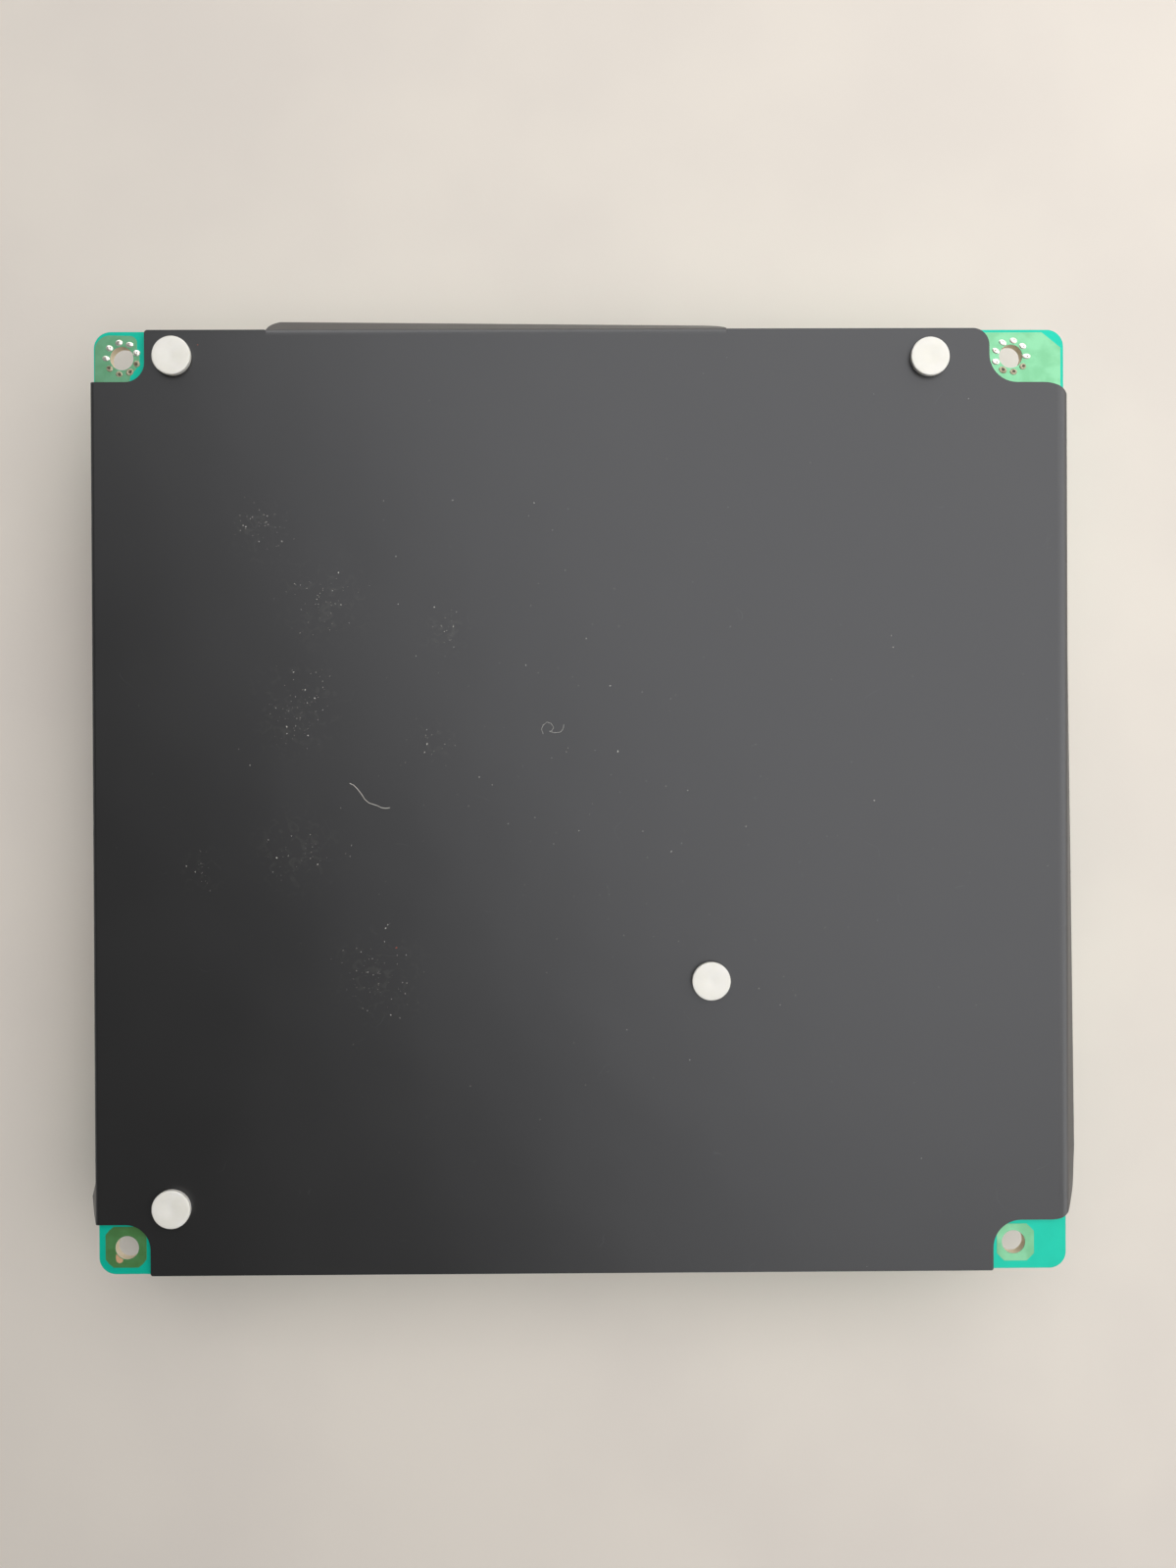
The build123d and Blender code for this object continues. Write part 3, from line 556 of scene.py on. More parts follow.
def slab(form, outline, rise):
    """A slab on a flat outline, raised from it by a vector."""
    face = form.faces.new([form.verts.new(point) for point in outline])
    grown = bmesh.ops.extrude_face_region(form, geom=[face])["geom"]
    raised = [item for item in grown if isinstance(item, bmesh.types.BMVert)]
    bmesh.ops.translate(form, vec=rise, verts=raised)


form = bmesh.new()
slab(form, [(x - half_pitch, y - half_pitch, copper_t) for x, y in ragged], (0, 0, 0.01))
new_piece("scraped_spot", form, "board_laminate", scraped)

# ---------------------------------------------------------------- solder in the vias
# Nine vias ring each rear screw. Hot-air levelling leaves a small bright dome on most, oval and
# uneven with a dimple, and drains the front ones to a dull ring.
random.seed(7)
solder = surface(
    "solder", (240, 238, 232), (206, 202, 192), 0.28, grain=0.5, relief=0.05, drift_size=0.9,
    rough_spread=0.3, Metallic=0.7,
)
drained = surface(
    "drained_solder", (178, 172, 148), (130, 122, 98), 0.5, grain=0.3, relief=0.03, drift_size=0.5,
    Metallic=0.4,
)
# Painted shade: a dark brown-grey patch in the dimple of each dome and over the hollow of each drained via,
# where the open hole lies in shade
pit_shade = surface("via_pit_shade", (96, 90, 72), (62, 58, 44), 0.6, grain=0.2, relief=0.02, drift_size=0.4)
via_ring_r = 2.85
dome_h, dimple_h = 0.26, 0.16
vias = bmesh.new()
for side, turn in ((-1, 180), (1, 0)):
    for step in range(9):
        angle = math.radians(turn - side * 40 * step)
        spot = Vector((side * half_pitch, half_pitch, 0))
        spot += Vector((math.cos(angle), math.sin(angle), 0)) * via_ring_r
        filled = math.sin(angle) > (-0.2 if side < 0 else -0.4)
        length, width = random.uniform(0.6, 0.78), random.uniform(0.48, 0.6)
        dome = bmesh.ops.create_uvsphere(vias, u_segments=24, v_segments=16, radius=1)["verts"]
        sink = random.uniform(0.35, 0.6) if filled else 1.5
        narrow = 0.22 if filled else 0.5
        lean = Vector((random.uniform(-0.25, 0.25), random.uniform(-0.25, 0.25)))
        turned = Matrix.Rotation(random.uniform(-0.6, 0.6), 3, "Z")
        faces = {face for corner in dome for face in corner.link_faces}
        for face in faces:
            centre = face.calc_center_median()
            # Faces in the dimple or the hollow take the painted shade, and the rest of a drained via takes the
            # dull solder
            if (centre.xy - lean).length < (0.17 if filled else 0.45):
                face.material_index = 2
            elif not filled:
                face.material_index = 1
        for corner in dome:
            hollow = math.exp(-((corner.co.xy - lean).length / narrow) ** 2) if corner.co.z > 0 else 0
            height = max(corner.co.z, 0) * dome_h - dimple_h * sink * hollow
            flat_point = turned @ Vector((corner.co.x * length, corner.co.y * width, 0))
            corner.co = spot + flat_point + Vector((0, 0, max(height, 0.03) + 0.01))
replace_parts(new_piece("via_domes", vias, "solder_tin", solder, drained, pit_shade, crease=80), "via_solder")

# ---------------------------------------------------------------- snap rivets
# One-piece natural nylon rivets: a flat head with a crisp rim, a shank through the sheet and the
# board, and a split barb below that springs open.


def lathe(form, profile, at, turns=64, axis="Z", paint=None):
    """Turns a profile of (radius, height) points round an axis. `paint` gives strips a material."""
    rings = []
    for radius, height in profile:
        ring = []
        for step in range(turns):
            angle = 2 * math.pi * step / turns
            side, front = radius * math.cos(angle), radius * math.sin(angle)
            spot = {"X": (height, side, front), "Y": (front, height, side), "Z": (side, front, height)}[axis]
            ring.append(form.verts.new(Vector(at) + Vector(spot)))
        rings.append(ring)
    for strip, (below, above) in enumerate(zip(rings, rings[1:])):
        for face in join_rings(form, below, above):
            face.material_index = (paint or {}).get(strip, 0)
    form.faces.new(rings[0])
    form.faces.new(rings[-1])


nylon = surface(
    "natural_nylon", (242, 240, 234), (237, 235, 227), 0.42, grain=0.5, relief=0.012,
    drift_size=4.0, Subsurface_Weight=0.15, Subsurface_Scale=0.002, Subsurface_Radius=(1.0, 0.9, 0.7),
)
rim_r = 0.22
barb_z = component_z - 0.1


def middle(base, top):
    """The middle between two corners, seen from above."""
    return (base.x + top.x) / 2, (base.y + top.y) / 2


for name in [name for name in frame["nodes"] if name.startswith("snap_rivet")]:
    base, top = limits(name)
    x, y = middle(base, top)
    head_r = (top.x - base.x) / 2 - 0.05
    form = bmesh.new()
    rim = [(head_r - rim_r + rim_r * math.cos(a), top.z - rim_r + rim_r * math.sin(a))
           for a in [math.radians(18 * step) for step in range(6)]]
    lathe(form, [
        (0.02, sheet_top), (head_r - 0.3, sheet_top), (head_r - 0.05, sheet_top + 0.1), *rim,
        (head_r - 0.9, top.z - 0.015), (0.7, top.z - 0.015), (0.62, top.z - 0.03), (0.02, top.z - 0.03),
    ], (x, y, 0))
    for side in (-1, 1):
        barb = bmesh.new()
        lathe(barb, [(0.02, base.z), (1.0, base.z), (1.45, base.z + 0.5), (2.25, barb_z),
                     (1.5, barb_z + 0.02), (1.5, sheet_top + 0.05), (0.02, sheet_top + 0.05)],
              (0, 0, 0), turns=32)
        cut = bmesh.ops.bisect_plane(
            barb, geom=barb.verts[:] + barb.edges[:] + barb.faces[:], plane_co=(side * 0.4, 0, 0),
            plane_no=(side, 0, 0), clear_inner=True,
        )["geom_cut"]
        bmesh.ops.holes_fill(barb, edges=[e for e in cut if isinstance(e, bmesh.types.BMEdge)])
        bmesh.ops.translate(barb, vec=(x, y, 0), verts=barb.verts)
        half = bpy.data.meshes.new("half")
        barb.to_mesh(half)
        form.from_mesh(half)
        bpy.data.meshes.remove(half)
        barb.free()
    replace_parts(new_piece(name.replace("snap_", "nylon_"), form, "nylon_white", nylon), name)

# ---------------------------------------------------------------- print and wire links
# The component side has white printed outlines round the parts, and tinned wire links, bent down
# into the board, where a single copper layer can't cross itself.
tinned = surface("tinned_copper", (214, 212, 206), (188, 186, 180), 0.28, grain=0.4, Metallic=1.0)
ink = surface("white_print", (232, 234, 228), (214, 218, 210), 0.6, grain=0.2, drift_size=3.0)
print_w, print_gap, edge_gap = 0.35, 0.5, 0.4
# What has no outline of its own: the board, what lies on it, and what is held by another part
unprinted = ("circuit_board", "insulating_sheet", "via_solder", "snap_rivet", "clips", "_winding", "_core",
             "bridge_rectifier", "switch", "boost_diode", "output_rectifier")
outlines = bmesh.new()
for name in frame["nodes"]:
    if any(word in name for word in unprinted):
        continue
    base, top = limits(name)
    x0, y0 = max(base.x - print_gap, left + edge_gap), max(base.y - print_gap, front + edge_gap)
    x1, y1 = min(top.x + print_gap, right - edge_gap), min(top.y + print_gap, rear - edge_gap)
    rings = []
    for inset in (0, print_w):
        near, far = (x0 + inset, y0 + inset), (x1 - inset, y1 - inset)
        for z in (component_z + 0.001, component_z - 0.015):
            rings.append([outlines.verts.new((*corner, z)) for corner in
                          (near, (far[0], near[1]), far, (near[0], far[1]))])
    outer_top, outer_low, inner_top, inner_low = rings
    for one, other in ((outer_top, outer_low), (outer_low, inner_low), (inner_low, inner_top)):
        join_rings(outlines, one, other)
new_piece("printed_outlines", outlines, "board_laminate", ink)



def mirrored(half):
    """Half of an outline or a wire, and its mirror image."""
    return half + [(-along, across) for along, across in reversed(half)]


link_r = 0.3
link_z = component_z - 0.45
links = bmesh.new()
for x, y, length, along_x in [
    (58, 12, 15, False), (62, 8, 10, False), (66, 10, 15, False), (50, -22, 12.5, True),
    (50, -26, 12.5, True), (56, -32, 10, True), (72, -12, 12.5, False), (30, 66, 15, True),
    (30, 62, 10, True), (52, 64, 12.5, False), (58, 66, 15, False), (34, -66, 12.5, False),
    (18, -14, 10, False), (70, 62, 10, True), (-22, -8, 7.5, False),
]:
    end = length / 2
    line = mirrored([(-end, component_z + 0.2), (-end, link_z + 0.25), (0.5 - end, link_z)])
    sweep(links, [(x + along, y, z) if along_x else (x, y + along, z) for along, z in line], link_r)
new_piece("wire_links", links, "tinned_metal", tinned)

# ---------------------------------------------------------------- resistors and diodes
# Small axial parts lie on the component side where no CAD part stands: lacquered resistors with
# colour bands, and black diodes with one pale band.


def seated(form, at, turn=0.0):
    """Puts a form drawn with z as its height above the component side on its place there."""
    turned = Matrix.Rotation(math.radians(turn), 4, "Z") @ Matrix.Rotation(math.pi, 4, "X")
    bmesh.ops.transform(form, matrix=Matrix.Translation((*at, component_z)) @ turned, verts=form.verts)


resistor_coat = surface("resistor_coat", (196, 172, 128), (184, 158, 114), 0.35, drift_size=3.0)
band_brown = surface("band_brown", (96, 52, 30), (84, 44, 26), 0.35)
band_red = surface("band_red", (170, 44, 36), (156, 38, 30), 0.35)
band_gold = surface("band_gold", (186, 148, 70), (168, 130, 56), 0.3, Metallic=0.6)
diode_body = surface("diode_body", (30, 30, 32), (24, 24, 26), 0.45)
diode_band = surface("diode_band", (196, 198, 198), (178, 180, 180), 0.4)


def paint_new(form, before, paint):
    """Gives a material to the faces that have come since."""
    for face in form.faces:
        if face not in before:
            face.material_index = paint


resistor_profile = [
    (0.4, -3.4), (0.95, -3.15), (1.2, -2.7), (1.2, -2.1), (1.1, -1.7), (1.05, -1.2), (1.05, -0.7),
    (1.05, -0.2), (1.05, 0.3), (1.05, 0.8), (1.1, 1.7), (1.2, 2.1), (1.2, 2.7), (0.95, 3.15), (0.4, 3.4),
]
diode_profile = [
    (0.5, -2.5), (1.25, -2.4), (1.35, -2.2), (1.35, 1.1), (1.35, 1.7), (1.35, 2.2), (1.25, 2.4), (0.5, 2.5),
]
# Each kind's profile, its radius, the strips of it that are bands, its slot and its materials
axial_kinds = {
    "resistor": (resistor_profile, 1.2, {3: 1, 5: 2, 7: 1, 9: 3}, "film_grey",
                 (resistor_coat, band_brown, band_red, band_gold, tinned)),
    "diode": (diode_profile, 1.35, {4: 1}, "package_black", (diode_body, diode_band, tinned)),
}
lead_span, lead_r = 5.0, 0.3
for index, (x, y, turn, kind) in enumerate([
    (40, 70, 0, "resistor"), (40, 75, 0, "resistor"), (40, 80, 0, "diode"), (62, 74, 90, "resistor"),
    (68, 74, 90, "resistor"), (74, 70, 90, "diode"), (52, -6, 0, "resistor"), (52, -11, 0, "diode"),
    (66, -24, 90, "resistor"), (30, -20, 90, "resistor"), (28, 76, 90, "resistor"), (20, -70, 0, "diode"),
], 1):
    profile, body_r, bands, slot, looks = axial_kinds[kind]
    form = bmesh.new()
    lathe(form, profile, (0, 0, body_r + 0.1), turns=24, axis="X", paint=bands)
    body = set(form.faces)
    lead = mirrored([(-lead_span, -0.2), (-lead_span, body_r - 0.3), (-lead_span + 0.4, body_r + 0.1)])
    sweep(form, [(along, 0, w) for along, w in lead], lead_r)
    paint_new(form, body, len(looks) - 1)
    seated(form, (x, y), turn)
    new_piece(f"axial_part_{index}", form, slot, *looks)

# ---------------------------------------------------------------- pin headers
# Moulded nylon wafer headers: a floor with ribs between the ways, a latch wall with a lip along
# its top, and square tinned pins pressed through the floor into the board.


def round_edges(form, edges, radius):
    """Rounds edges off in two steps."""
    bmesh.ops.bevel(form, geom=list(edges), offset=radius, segments=2, affect="EDGES", profile=0.5)


def block(form, lowest, highest, edge=0.15, paint=0, taper=0.0):
    """A block with rounded edges. `taper` draws its top in all round, as a mould's draft does."""
    lowest, highest = Vector(lowest), Vector(highest)
    size = highest - lowest
    before = set(form.faces)
    corners = bmesh.ops.create_cube(form, size=1)["verts"]
    for corner in corners:
        x, y, z = corner.co
        drawn = 2 * taper if z > 0 else 0
        corner.co = (lowest + highest) / 2 + Vector((x * (size.x - drawn), y * (size.y - drawn), z * size.z))
    round_edges(form, {line for corner in corners for line in corner.link_edges}, edge)
    paint_new(form, before, paint)


header_nylon = surface("header_nylon", (232, 226, 208), (224, 216, 196), 0.45, relief=0.008)
# Each header's ways, their pitch and the half width of a pin
header_ways = {"mains_inlet": (2, 7.92, 0.6), "output_header": (8, 2.5, 0.32), "lamp_header": (3, 2.5, 0.32)}
for name, (ways, pitch, pin_r) in header_ways.items():
    base, top = limits(name)
    deep, long = (top.x - base.x) / 2, (top.y - base.y) / 2
    tall = component_z - base.z
    form = bmesh.new()
    block(form, (-long, -deep, 0), (long, deep, tall / 3), edge=0.2)
    block(form, (-long, deep - 1, 0), (long, deep, tall), edge=0.2)
    block(form, (-long + 0.6, deep - 1.4, tall - 1.4), (long - 0.6, deep - 0.8, tall - 0.6), edge=0.15)
    for end in (0.5 - long, long - 0.5):
        block(form, (end - 0.5, -deep + 0.4, 0), (end + 0.5, deep, tall / 3 + 0.8))
    for way in range(ways):
        u = (way - (ways - 1) / 2) * pitch
        block(form, (u - pin_r * 2, -deep + 0.3, tall / 3 - 0.2),
              (u + pin_r * 2, -deep + 0.9, tall / 3 + 0.5), edge=0.1)
        block(form, (u - pin_r, -pin_r, -2.2), (u + pin_r, pin_r, tall - 1), edge=0.1, paint=1, taper=0.12)
    seated(form, middle(base, top), 90)
    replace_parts(new_piece(name + "_moulding", form, "header_white", header_nylon, tinned), name)

# ---------------------------------------------------------------- fuse and its clips
# A ceramic tube fuse: a glazed white tube between two nickel-plated caps, crimped on. It sits in a
# pair of sprung U clips of tinned strip.
nickel = surface("nickel_plate", (206, 200, 188), (182, 176, 164), 0.2, grain=0.4, Metallic=1.0)
glaze = surface("fuse_glaze", (232, 228, 216), (222, 217, 203), 0.22, grain=0.5, relief=0.006)
base, top = limits("fuse")
fuse_at = middle(base, top)
fuse_r = (top.x - base.x) / 2
half_l = (top.y - base.y) / 2
fuse_w = component_z - (base.z + top.z) / 2
# A cap from its outer end inwards, as (radius, distance from the end), with its crimp
cap = [
    (0.02, 0), (fuse_r - 0.7, 0), (fuse_r - 0.15, 0.15), (fuse_r, 0.7), (fuse_r, 3.6), (fuse_r - 0.1, 3.8),
    (fuse_r - 0.1, 4.1), (fuse_r, 4.3), (fuse_r, 4.9), (fuse_r - 0.15, 5), (0.3, 4.9),
]
caps = bmesh.new()
for end in (-1, 1):
    turned = [(radius, end * (half_l - inwards)) for radius, inwards in cap]
    lathe(caps, turned, (0, 0, fuse_w), turns=48, axis="Y")
seated(caps, fuse_at)
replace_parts(new_piece("fuse_caps", caps, "tinned_metal", nickel), "fuse")
tube = bmesh.new()
lathe(tube, [(fuse_r - 0.3, 4.6 - half_l), (fuse_r - 0.2, 4.7 - half_l), (fuse_r - 0.2, half_l - 4.7),
             (fuse_r - 0.3, half_l - 4.6)], (0, 0, fuse_w), turns=48, axis="Y")
seated(tube, fuse_at)
new_piece("fuse_tube", tube, "fuse_ceramic", glaze)
dress("fuse_clips", tinned, 0.08)

# ---------------------------------------------------------------- dipped discs
# The varistor, the inrush thermistor and two ceramic capacitors: discs dipped in epoxy, thick in
# the middle, with coat run down their leads, which are kinked to stand off the board.
blue_dip = surface("blue_epoxy_dip", (28, 66, 150), (22, 56, 132), 0.28, grain=0.9, relief=0.03)
green_dip = surface("green_epoxy_dip", (36, 74, 52), (30, 64, 44), 0.35, grain=0.9, relief=0.03)
pale_blue_dip = surface("pale_blue_epoxy_dip", (60, 128, 196), (48, 112, 180), 0.34, grain=0.9, relief=0.03)
disc_lift = 3.0
# Each disc's turn, the pitch of its leads, its coat and its slot
discs = {
    "varistor": (0, 7.5, blue_dip, "varistor_blue"), "thermistor": (0, 5.0, green_dip, "thermistor_green"),
    "ceramic_capacitor_1": (90, 5.0, pale_blue_dip, "disc_ochre"),
    "ceramic_capacitor_2": (90, 5.0, pale_blue_dip, "disc_ochre"),
}
for name, (turn, pitch, coat, slot) in discs.items():
    base, top = limits(name)
    wide, thick = (top.x - base.x, top.y - base.y) if turn == 0 else (top.y - base.y, top.x - base.x)
    disc_r, half_t = wide / 2, thick / 2
    disc_w = disc_lift + disc_r
    # One face of the disc, from its middle out to its rim, as (radius, share of the thickness)
    crown = [
        (0.02, -1), (disc_r * 0.5, -0.97), (disc_r - 1.5, -0.84), (disc_r - 0.6, -0.6), (disc_r - 0.12, -0.3),
    ]
    profile = crown + [(disc_r, 0)] + [(radius, -share) for radius, share in reversed(crown)]
    form = bmesh.new()
    lathe(form, [(radius, share * half_t) for radius, share in profile], (0, 0, disc_w), turns=56, axis="Y")
    for side in (-1, 1):
        u = side * pitch / 2
        rise = disc_w - math.sqrt(disc_r ** 2 - u ** 2)
        for reach, radius in ((0.2, 0.75), (-0.7, 0.6)):
            sweep(form, [(u, 0, rise + 1.5), (u, 0, rise + reach)], radius, sides=16)
    coated = set(form.faces)
    for side in (-1, 1):
        u = side * pitch / 2
        sweep(form, [(u, 0, disc_lift + disc_r * 0.5), (u, 0, 2.2), (u + side * 0.35, 0, 1.5), (u, 0, 0.8),
                     (u, 0, 0.0)], 0.35)
    paint_new(form, coated, 1)
    seated(form, middle(base, top), turn)
    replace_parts(new_piece(name + "_dipped", form, slot, coat, tinned), name)

# ---------------------------------------------------------------- film capacitors
# Two mains suppression capacitors and the resonant one: moulded boxes with softened edges, filled
# with resin from below.
yellow_box = surface("yellow_case", (226, 178, 40), (218, 166, 32), 0.35, grain=0.25)
grey_box = surface("grey_case", (122, 126, 130), (112, 116, 120), 0.4, grain=0.25)
for name, case in (("mains_film_capacitor_1", yellow_box), ("mains_film_capacitor_2", yellow_box),
                   ("resonant_capacitor", grey_box)):
    dress(name, case, 0.5, segments=3)

# ---------------------------------------------------------------- line chokes
# Common-mode chokes: a ferrite frame on a phenolic base, with a coil of thick enamelled wire on
# each long leg, its ends brought down to the corners of the base.
ferrite = surface("ground_ferrite", (58, 59, 62), (48, 48, 50), 0.55, grain=0.18, relief=0.02)
phenolic = surface("phenolic", (38, 38, 40), (32, 32, 34), 0.5, grain=0.3, relief=0.012)
copper_wire = surface("enamelled_copper", (198, 104, 46), (168, 80, 32), 0.26, Metallic=0.75)
wire_r, turn_r = 0.4, 2.4
# Each coil is twice this across, and the two lie on either side of the frame's window
coil_half = 5.8


def rounded(reach_x, reach_y, radius, steps):
    """An outline with round corners. The reaches go from its middle to the corners' centres."""
    points = []
    for quarter, (x, y) in enumerate(((1, 1), (-1, 1), (-1, -1), (1, -1))):
        points += arc((x * reach_x, y * reach_y), radius, 90 * quarter, 90 * quarter + 90, steps)
    return points


for number, turn in ((1, 90), (2, 0)):
    name = f"line_choke_{number}"
    dress(name + "_core", ferrite, 0.4)
    dress(name + "_base", phenolic, 0.2)
    base, top = limits(name + "_winding")
    size = top - base
    long, wide = (size.x / 2, size.y / 2) if turn == 0 else (size.y / 2, size.x / 2)
    coil_h = size.z / 2
    centre_w = component_z - (base.z + top.z) / 2
    coil_v = wide - coil_half
    one_turn = rounded(coil_half - wire_r - turn_r, coil_h - wire_r - turn_r, turn_r, 4)
    count = int(long / wire_r)
    form = bmesh.new()
    for side in (-1, 1):
        block(form, (-long + 0.3, side * coil_v - coil_half + 0.7, centre_w - coil_h + 0.7),
              (long - 0.3, side * coil_v + coil_half - 0.7, centre_w + coil_h - 0.7), edge=1.5)
        for index in range(count):
            u = -long + wire_r + index * (2 * long - 2 * wire_r) / (count - 1)
            sweep(form, [(u, side * coil_v + v, centre_w + w) for v, w in one_turn], wire_r, closed=True)
        for end in (-1, 1):
            u = end * (long - wire_r)
            sweep(form, [(u, side * (coil_v + 2.5), centre_w - coil_h + 0.6),
                         (end * (long + 1.2), side * (coil_v + 1.5), 2.6),
                         (end * (long + 2.6), side * 9.0, 1.9),
                         (end * (long + 3.1), side * 9.0, 0.6)], wire_r)
    seated(form, middle(base, top), turn)
    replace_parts(new_piece(name + "_coils", form, "enamel_copper", copper_wire), name + "_winding")

# ---------------------------------------------------------------- wound parts
# The boost choke and the two transformers lie flat: ferrite E halves round a phenolic bobbin, the
# coil under yellow polyester tape, and a band of the same tape round the core to hold its halves.
tape = surface("polyester_tape", (234, 190, 46), (222, 176, 38), 0.2, grain=2.5, relief=0.03,
               drift_size=6.0)
# The band covers this share of the core's height to each side of its middle
band_t, band_share, bevel_r = 0.06, 0.3, 1.0
for wound in ("boost_choke", "main_transformer", "standby_transformer"):
    dress(wound + "_core", ferrite, 0.3)
    dress(wound + "_bobbin", phenolic, 0.15)
    dress(wound + "_winding", tape, 0.8, segments=3)
    base, top = limits(wound + "_core")
    size = top - base
    centre = Vector((*middle(base, top), (base.z + top.z) / 2))
    form = bmesh.new()
    rings = []
    for grow in (-0.02, band_t):
        outline = rounded(size.x / 2 - bevel_r, size.y / 2 - bevel_r, bevel_r + grow, 5)
        for z in (-band_share * size.z, band_share * size.z):
            rings.append([form.verts.new(centre + Vector((x, y, z))) for x, y in outline])
    inner_low, inner_high, outer_low, outer_high = rings
    for one, other in ((inner_low, outer_low), (outer_low, outer_high), (outer_high, inner_high),
                       (inner_high, inner_low)):
        join_rings(form, one, other)
    new_piece(wound + "_band", form, "tape_yellow", tape)

# ---------------------------------------------------------------- electrolytic capacitors
# Aluminium cans in shrink sleeves that grip a rolled groove and turn in over the pale scored end.
# The two bulk ones lie on the board with their leads bent down; the output ones stand.


def scored_end(form, radius, height, paint):
    """Four raised sectors on the end of a can. The gaps between them are its vent score."""
    gap = 0.18
    reach = math.degrees(math.asin(gap / radius))
    outline = [(gap, gap)] + arc((0, 0), radius, reach, 90 - reach, 8)
    before = set(form.faces)
    for quarter in range(4):
        turned = Matrix.Rotation(quarter * math.pi / 2, 3, "Z")
        slab(form, [turned @ Vector((x, y, height)) for x, y in outline], (0, 0, 0.14))
    paint_new(form, before, paint)


sleeve = surface("black_sleeve", (24, 25, 32), (20, 20, 27), 0.3, grain=1.6, relief=0.015)
stripe = surface("sleeve_stripe", (168, 172, 176), (158, 162, 166), 0.34, grain=1.6, relief=0.015)
can_metal = surface("can_aluminium", (214, 216, 218), (196, 198, 200), 0.3, grain=0.25, Metallic=1.0)
rubber = surface("bung_rubber", (44, 42, 42), (36, 34, 34), 0.7, grain=0.3)
# Half the angle that the pale stripe takes up, in radians
stripe_half = 0.32


def can(form, radius, length):
    """A can along z, from its leads at 0 to its vent."""
    lathe(form, [
        (0.02, 0.35), (radius - 1.3, 0.35), (radius - 1.1, 0.05), (radius - 0.7, 0.0), (radius - 0.15, 0.35),
        (radius, 0.9), (radius, 2.1), (radius - 0.4, 2.7), (radius - 0.4, 3.1), (radius, 3.7),
        (radius, length - 0.9), (radius - 0.25, length - 0.3), (radius - 0.8, length),
        (radius - 1.15, length - 0.08), (radius - 1.25, length - 0.25), (0.02, length - 0.25),
    ], (0, 0, 0), paint={0: 3, 14: 2})
    for face in form.faces:
        x, y, z = face.calc_center_median()
        on_side = 0.9 < z < length - 0.4 and math.hypot(x, y) > radius - 0.6
        if on_side and abs(math.atan2(y, x)) < stripe_half:
            face.material_index = 1
    scored_end(form, radius - 1.6, length - 0.25, 2)


bulk_l, bulk_lead_r, bulk_pitch = 38.0, 0.4, 7.5
for number in (1, 2):
    name = f"bulk_capacitor_{number}"
    base, top = limits(name)
    radius = (top.x - base.x) / 2
    centre_w = component_z - base.z - radius
    foot = -bulk_l / 2
    form = bmesh.new()
    can(form, radius, bulk_l)
    laid = Matrix.Rotation(math.radians(-90), 4, "X") @ Matrix.Rotation(math.radians(90), 4, "Z")
    bmesh.ops.transform(form, matrix=Matrix.Translation((0, foot, centre_w)) @ laid, verts=form.verts)
    before = set(form.faces)
    for u in (-bulk_pitch / 2, bulk_pitch / 2):
        sweep(form, [(u, foot + 0.5, centre_w), (u, foot - 1.9, centre_w), (u, foot - 2.4, centre_w - 0.4),
                     (u, foot - 2.5, centre_w - 1.0), (u, foot - 2.5, -2.2)], bulk_lead_r)
    paint_new(form, before, 4)
    seated(form, ((base.x + top.x) / 2, base.y - foot))
    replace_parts(new_piece(name + "_can", form, "can_sleeve", sleeve, stripe, can_metal, rubber, tinned), name)

for number in (1, 2, 3):
    name = f"output_capacitor_{number}"
    base, top = limits(name)
    form = bmesh.new()
    can(form, (top.x - base.x) / 2, component_z - base.z)
    seated(form, middle(base, top), 90 * number)
    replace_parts(new_piece(name + "_can", form, "can_sleeve", sleeve, stripe, can_metal, rubber), name)

# ---------------------------------------------------------------- rod choke and driver inductor
# A wound rod in a plain shrink sleeve, and a shielded inductor: a square ferrite ring with cut
# corners round a drum core, the gap between them filled with pale resin.
dress("output_choke", sleeve, 0.8, segments=3)
resin = surface("gap_resin", (196, 190, 172), (180, 172, 152), 0.5, grain=0.6, relief=0.03)
base, top = limits("driver_inductor")
half, tall = (top.x - base.x) / 2, component_z - base.z
cut = half - 3.0
octagon = [(half, cut), (cut, half), (-cut, half), (-half, cut), (-half, -cut), (-cut, -half), (cut, -half),
           (half, -cut)]
form = bmesh.new()
plate(form, octagon, (0, 0), half - 2.6, 0.0, tall)
lathe(form, [(half - 2.6, 0.1), (half - 2.6, tall - 1.4), (half - 2.8, tall - 1.5), (half - 3.8, tall - 1.5),
             (half - 3.9, tall - 1.6)], (0, 0, 0), paint={1: 1, 2: 1, 3: 1})
lathe(form, [(half - 3.9, tall - 2.0), (half - 3.9, tall - 0.7), (half - 4.2, tall - 0.4), (2.2, tall - 0.4),
             (1.9, tall - 0.9), (0.02, tall - 0.9)], (0, 0, 0))
seated(form, middle(base, top))
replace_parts(new_piece("shielded_inductor", form, "ferrite", ferrite, resin), "driver_inductor")

# ---------------------------------------------------------------- heat sinks
# Extruded aluminium combs, sawn to length: fine die lines run along the fins, and the edges are
# as cut.
drawn_metal, tree, shader = new_material("extruded_aluminium")
out = use(tree, finish, Colour=colour(206, 208, 210), Drift=colour(188, 190, 192), Drift_Size=14.0,
          Rough=0.34, Rough_Spread=0.15, Grain=0.4, Relief=0.006)
along_fins = millimetres(tree, (9, 9, 0.12))
die_lines = put(tree, "TexNoise", {"Vector": along_fins, "Scale": 1.0, "Detail": 3.0}).outputs["Fac"]
feed(tree, shader, {
    "Base Color": out["Colour"], "Roughness": out["Roughness"], "Metallic": 1.0,
    "Normal": bump(tree, die_lines, 0.02 * MM, Normal=out["Normal"]),
})
for sink in ("primary_heat_sink", "secondary_heat_sink", "bridge_heat_sink"):
    dress(sink, drawn_metal, 0.12)

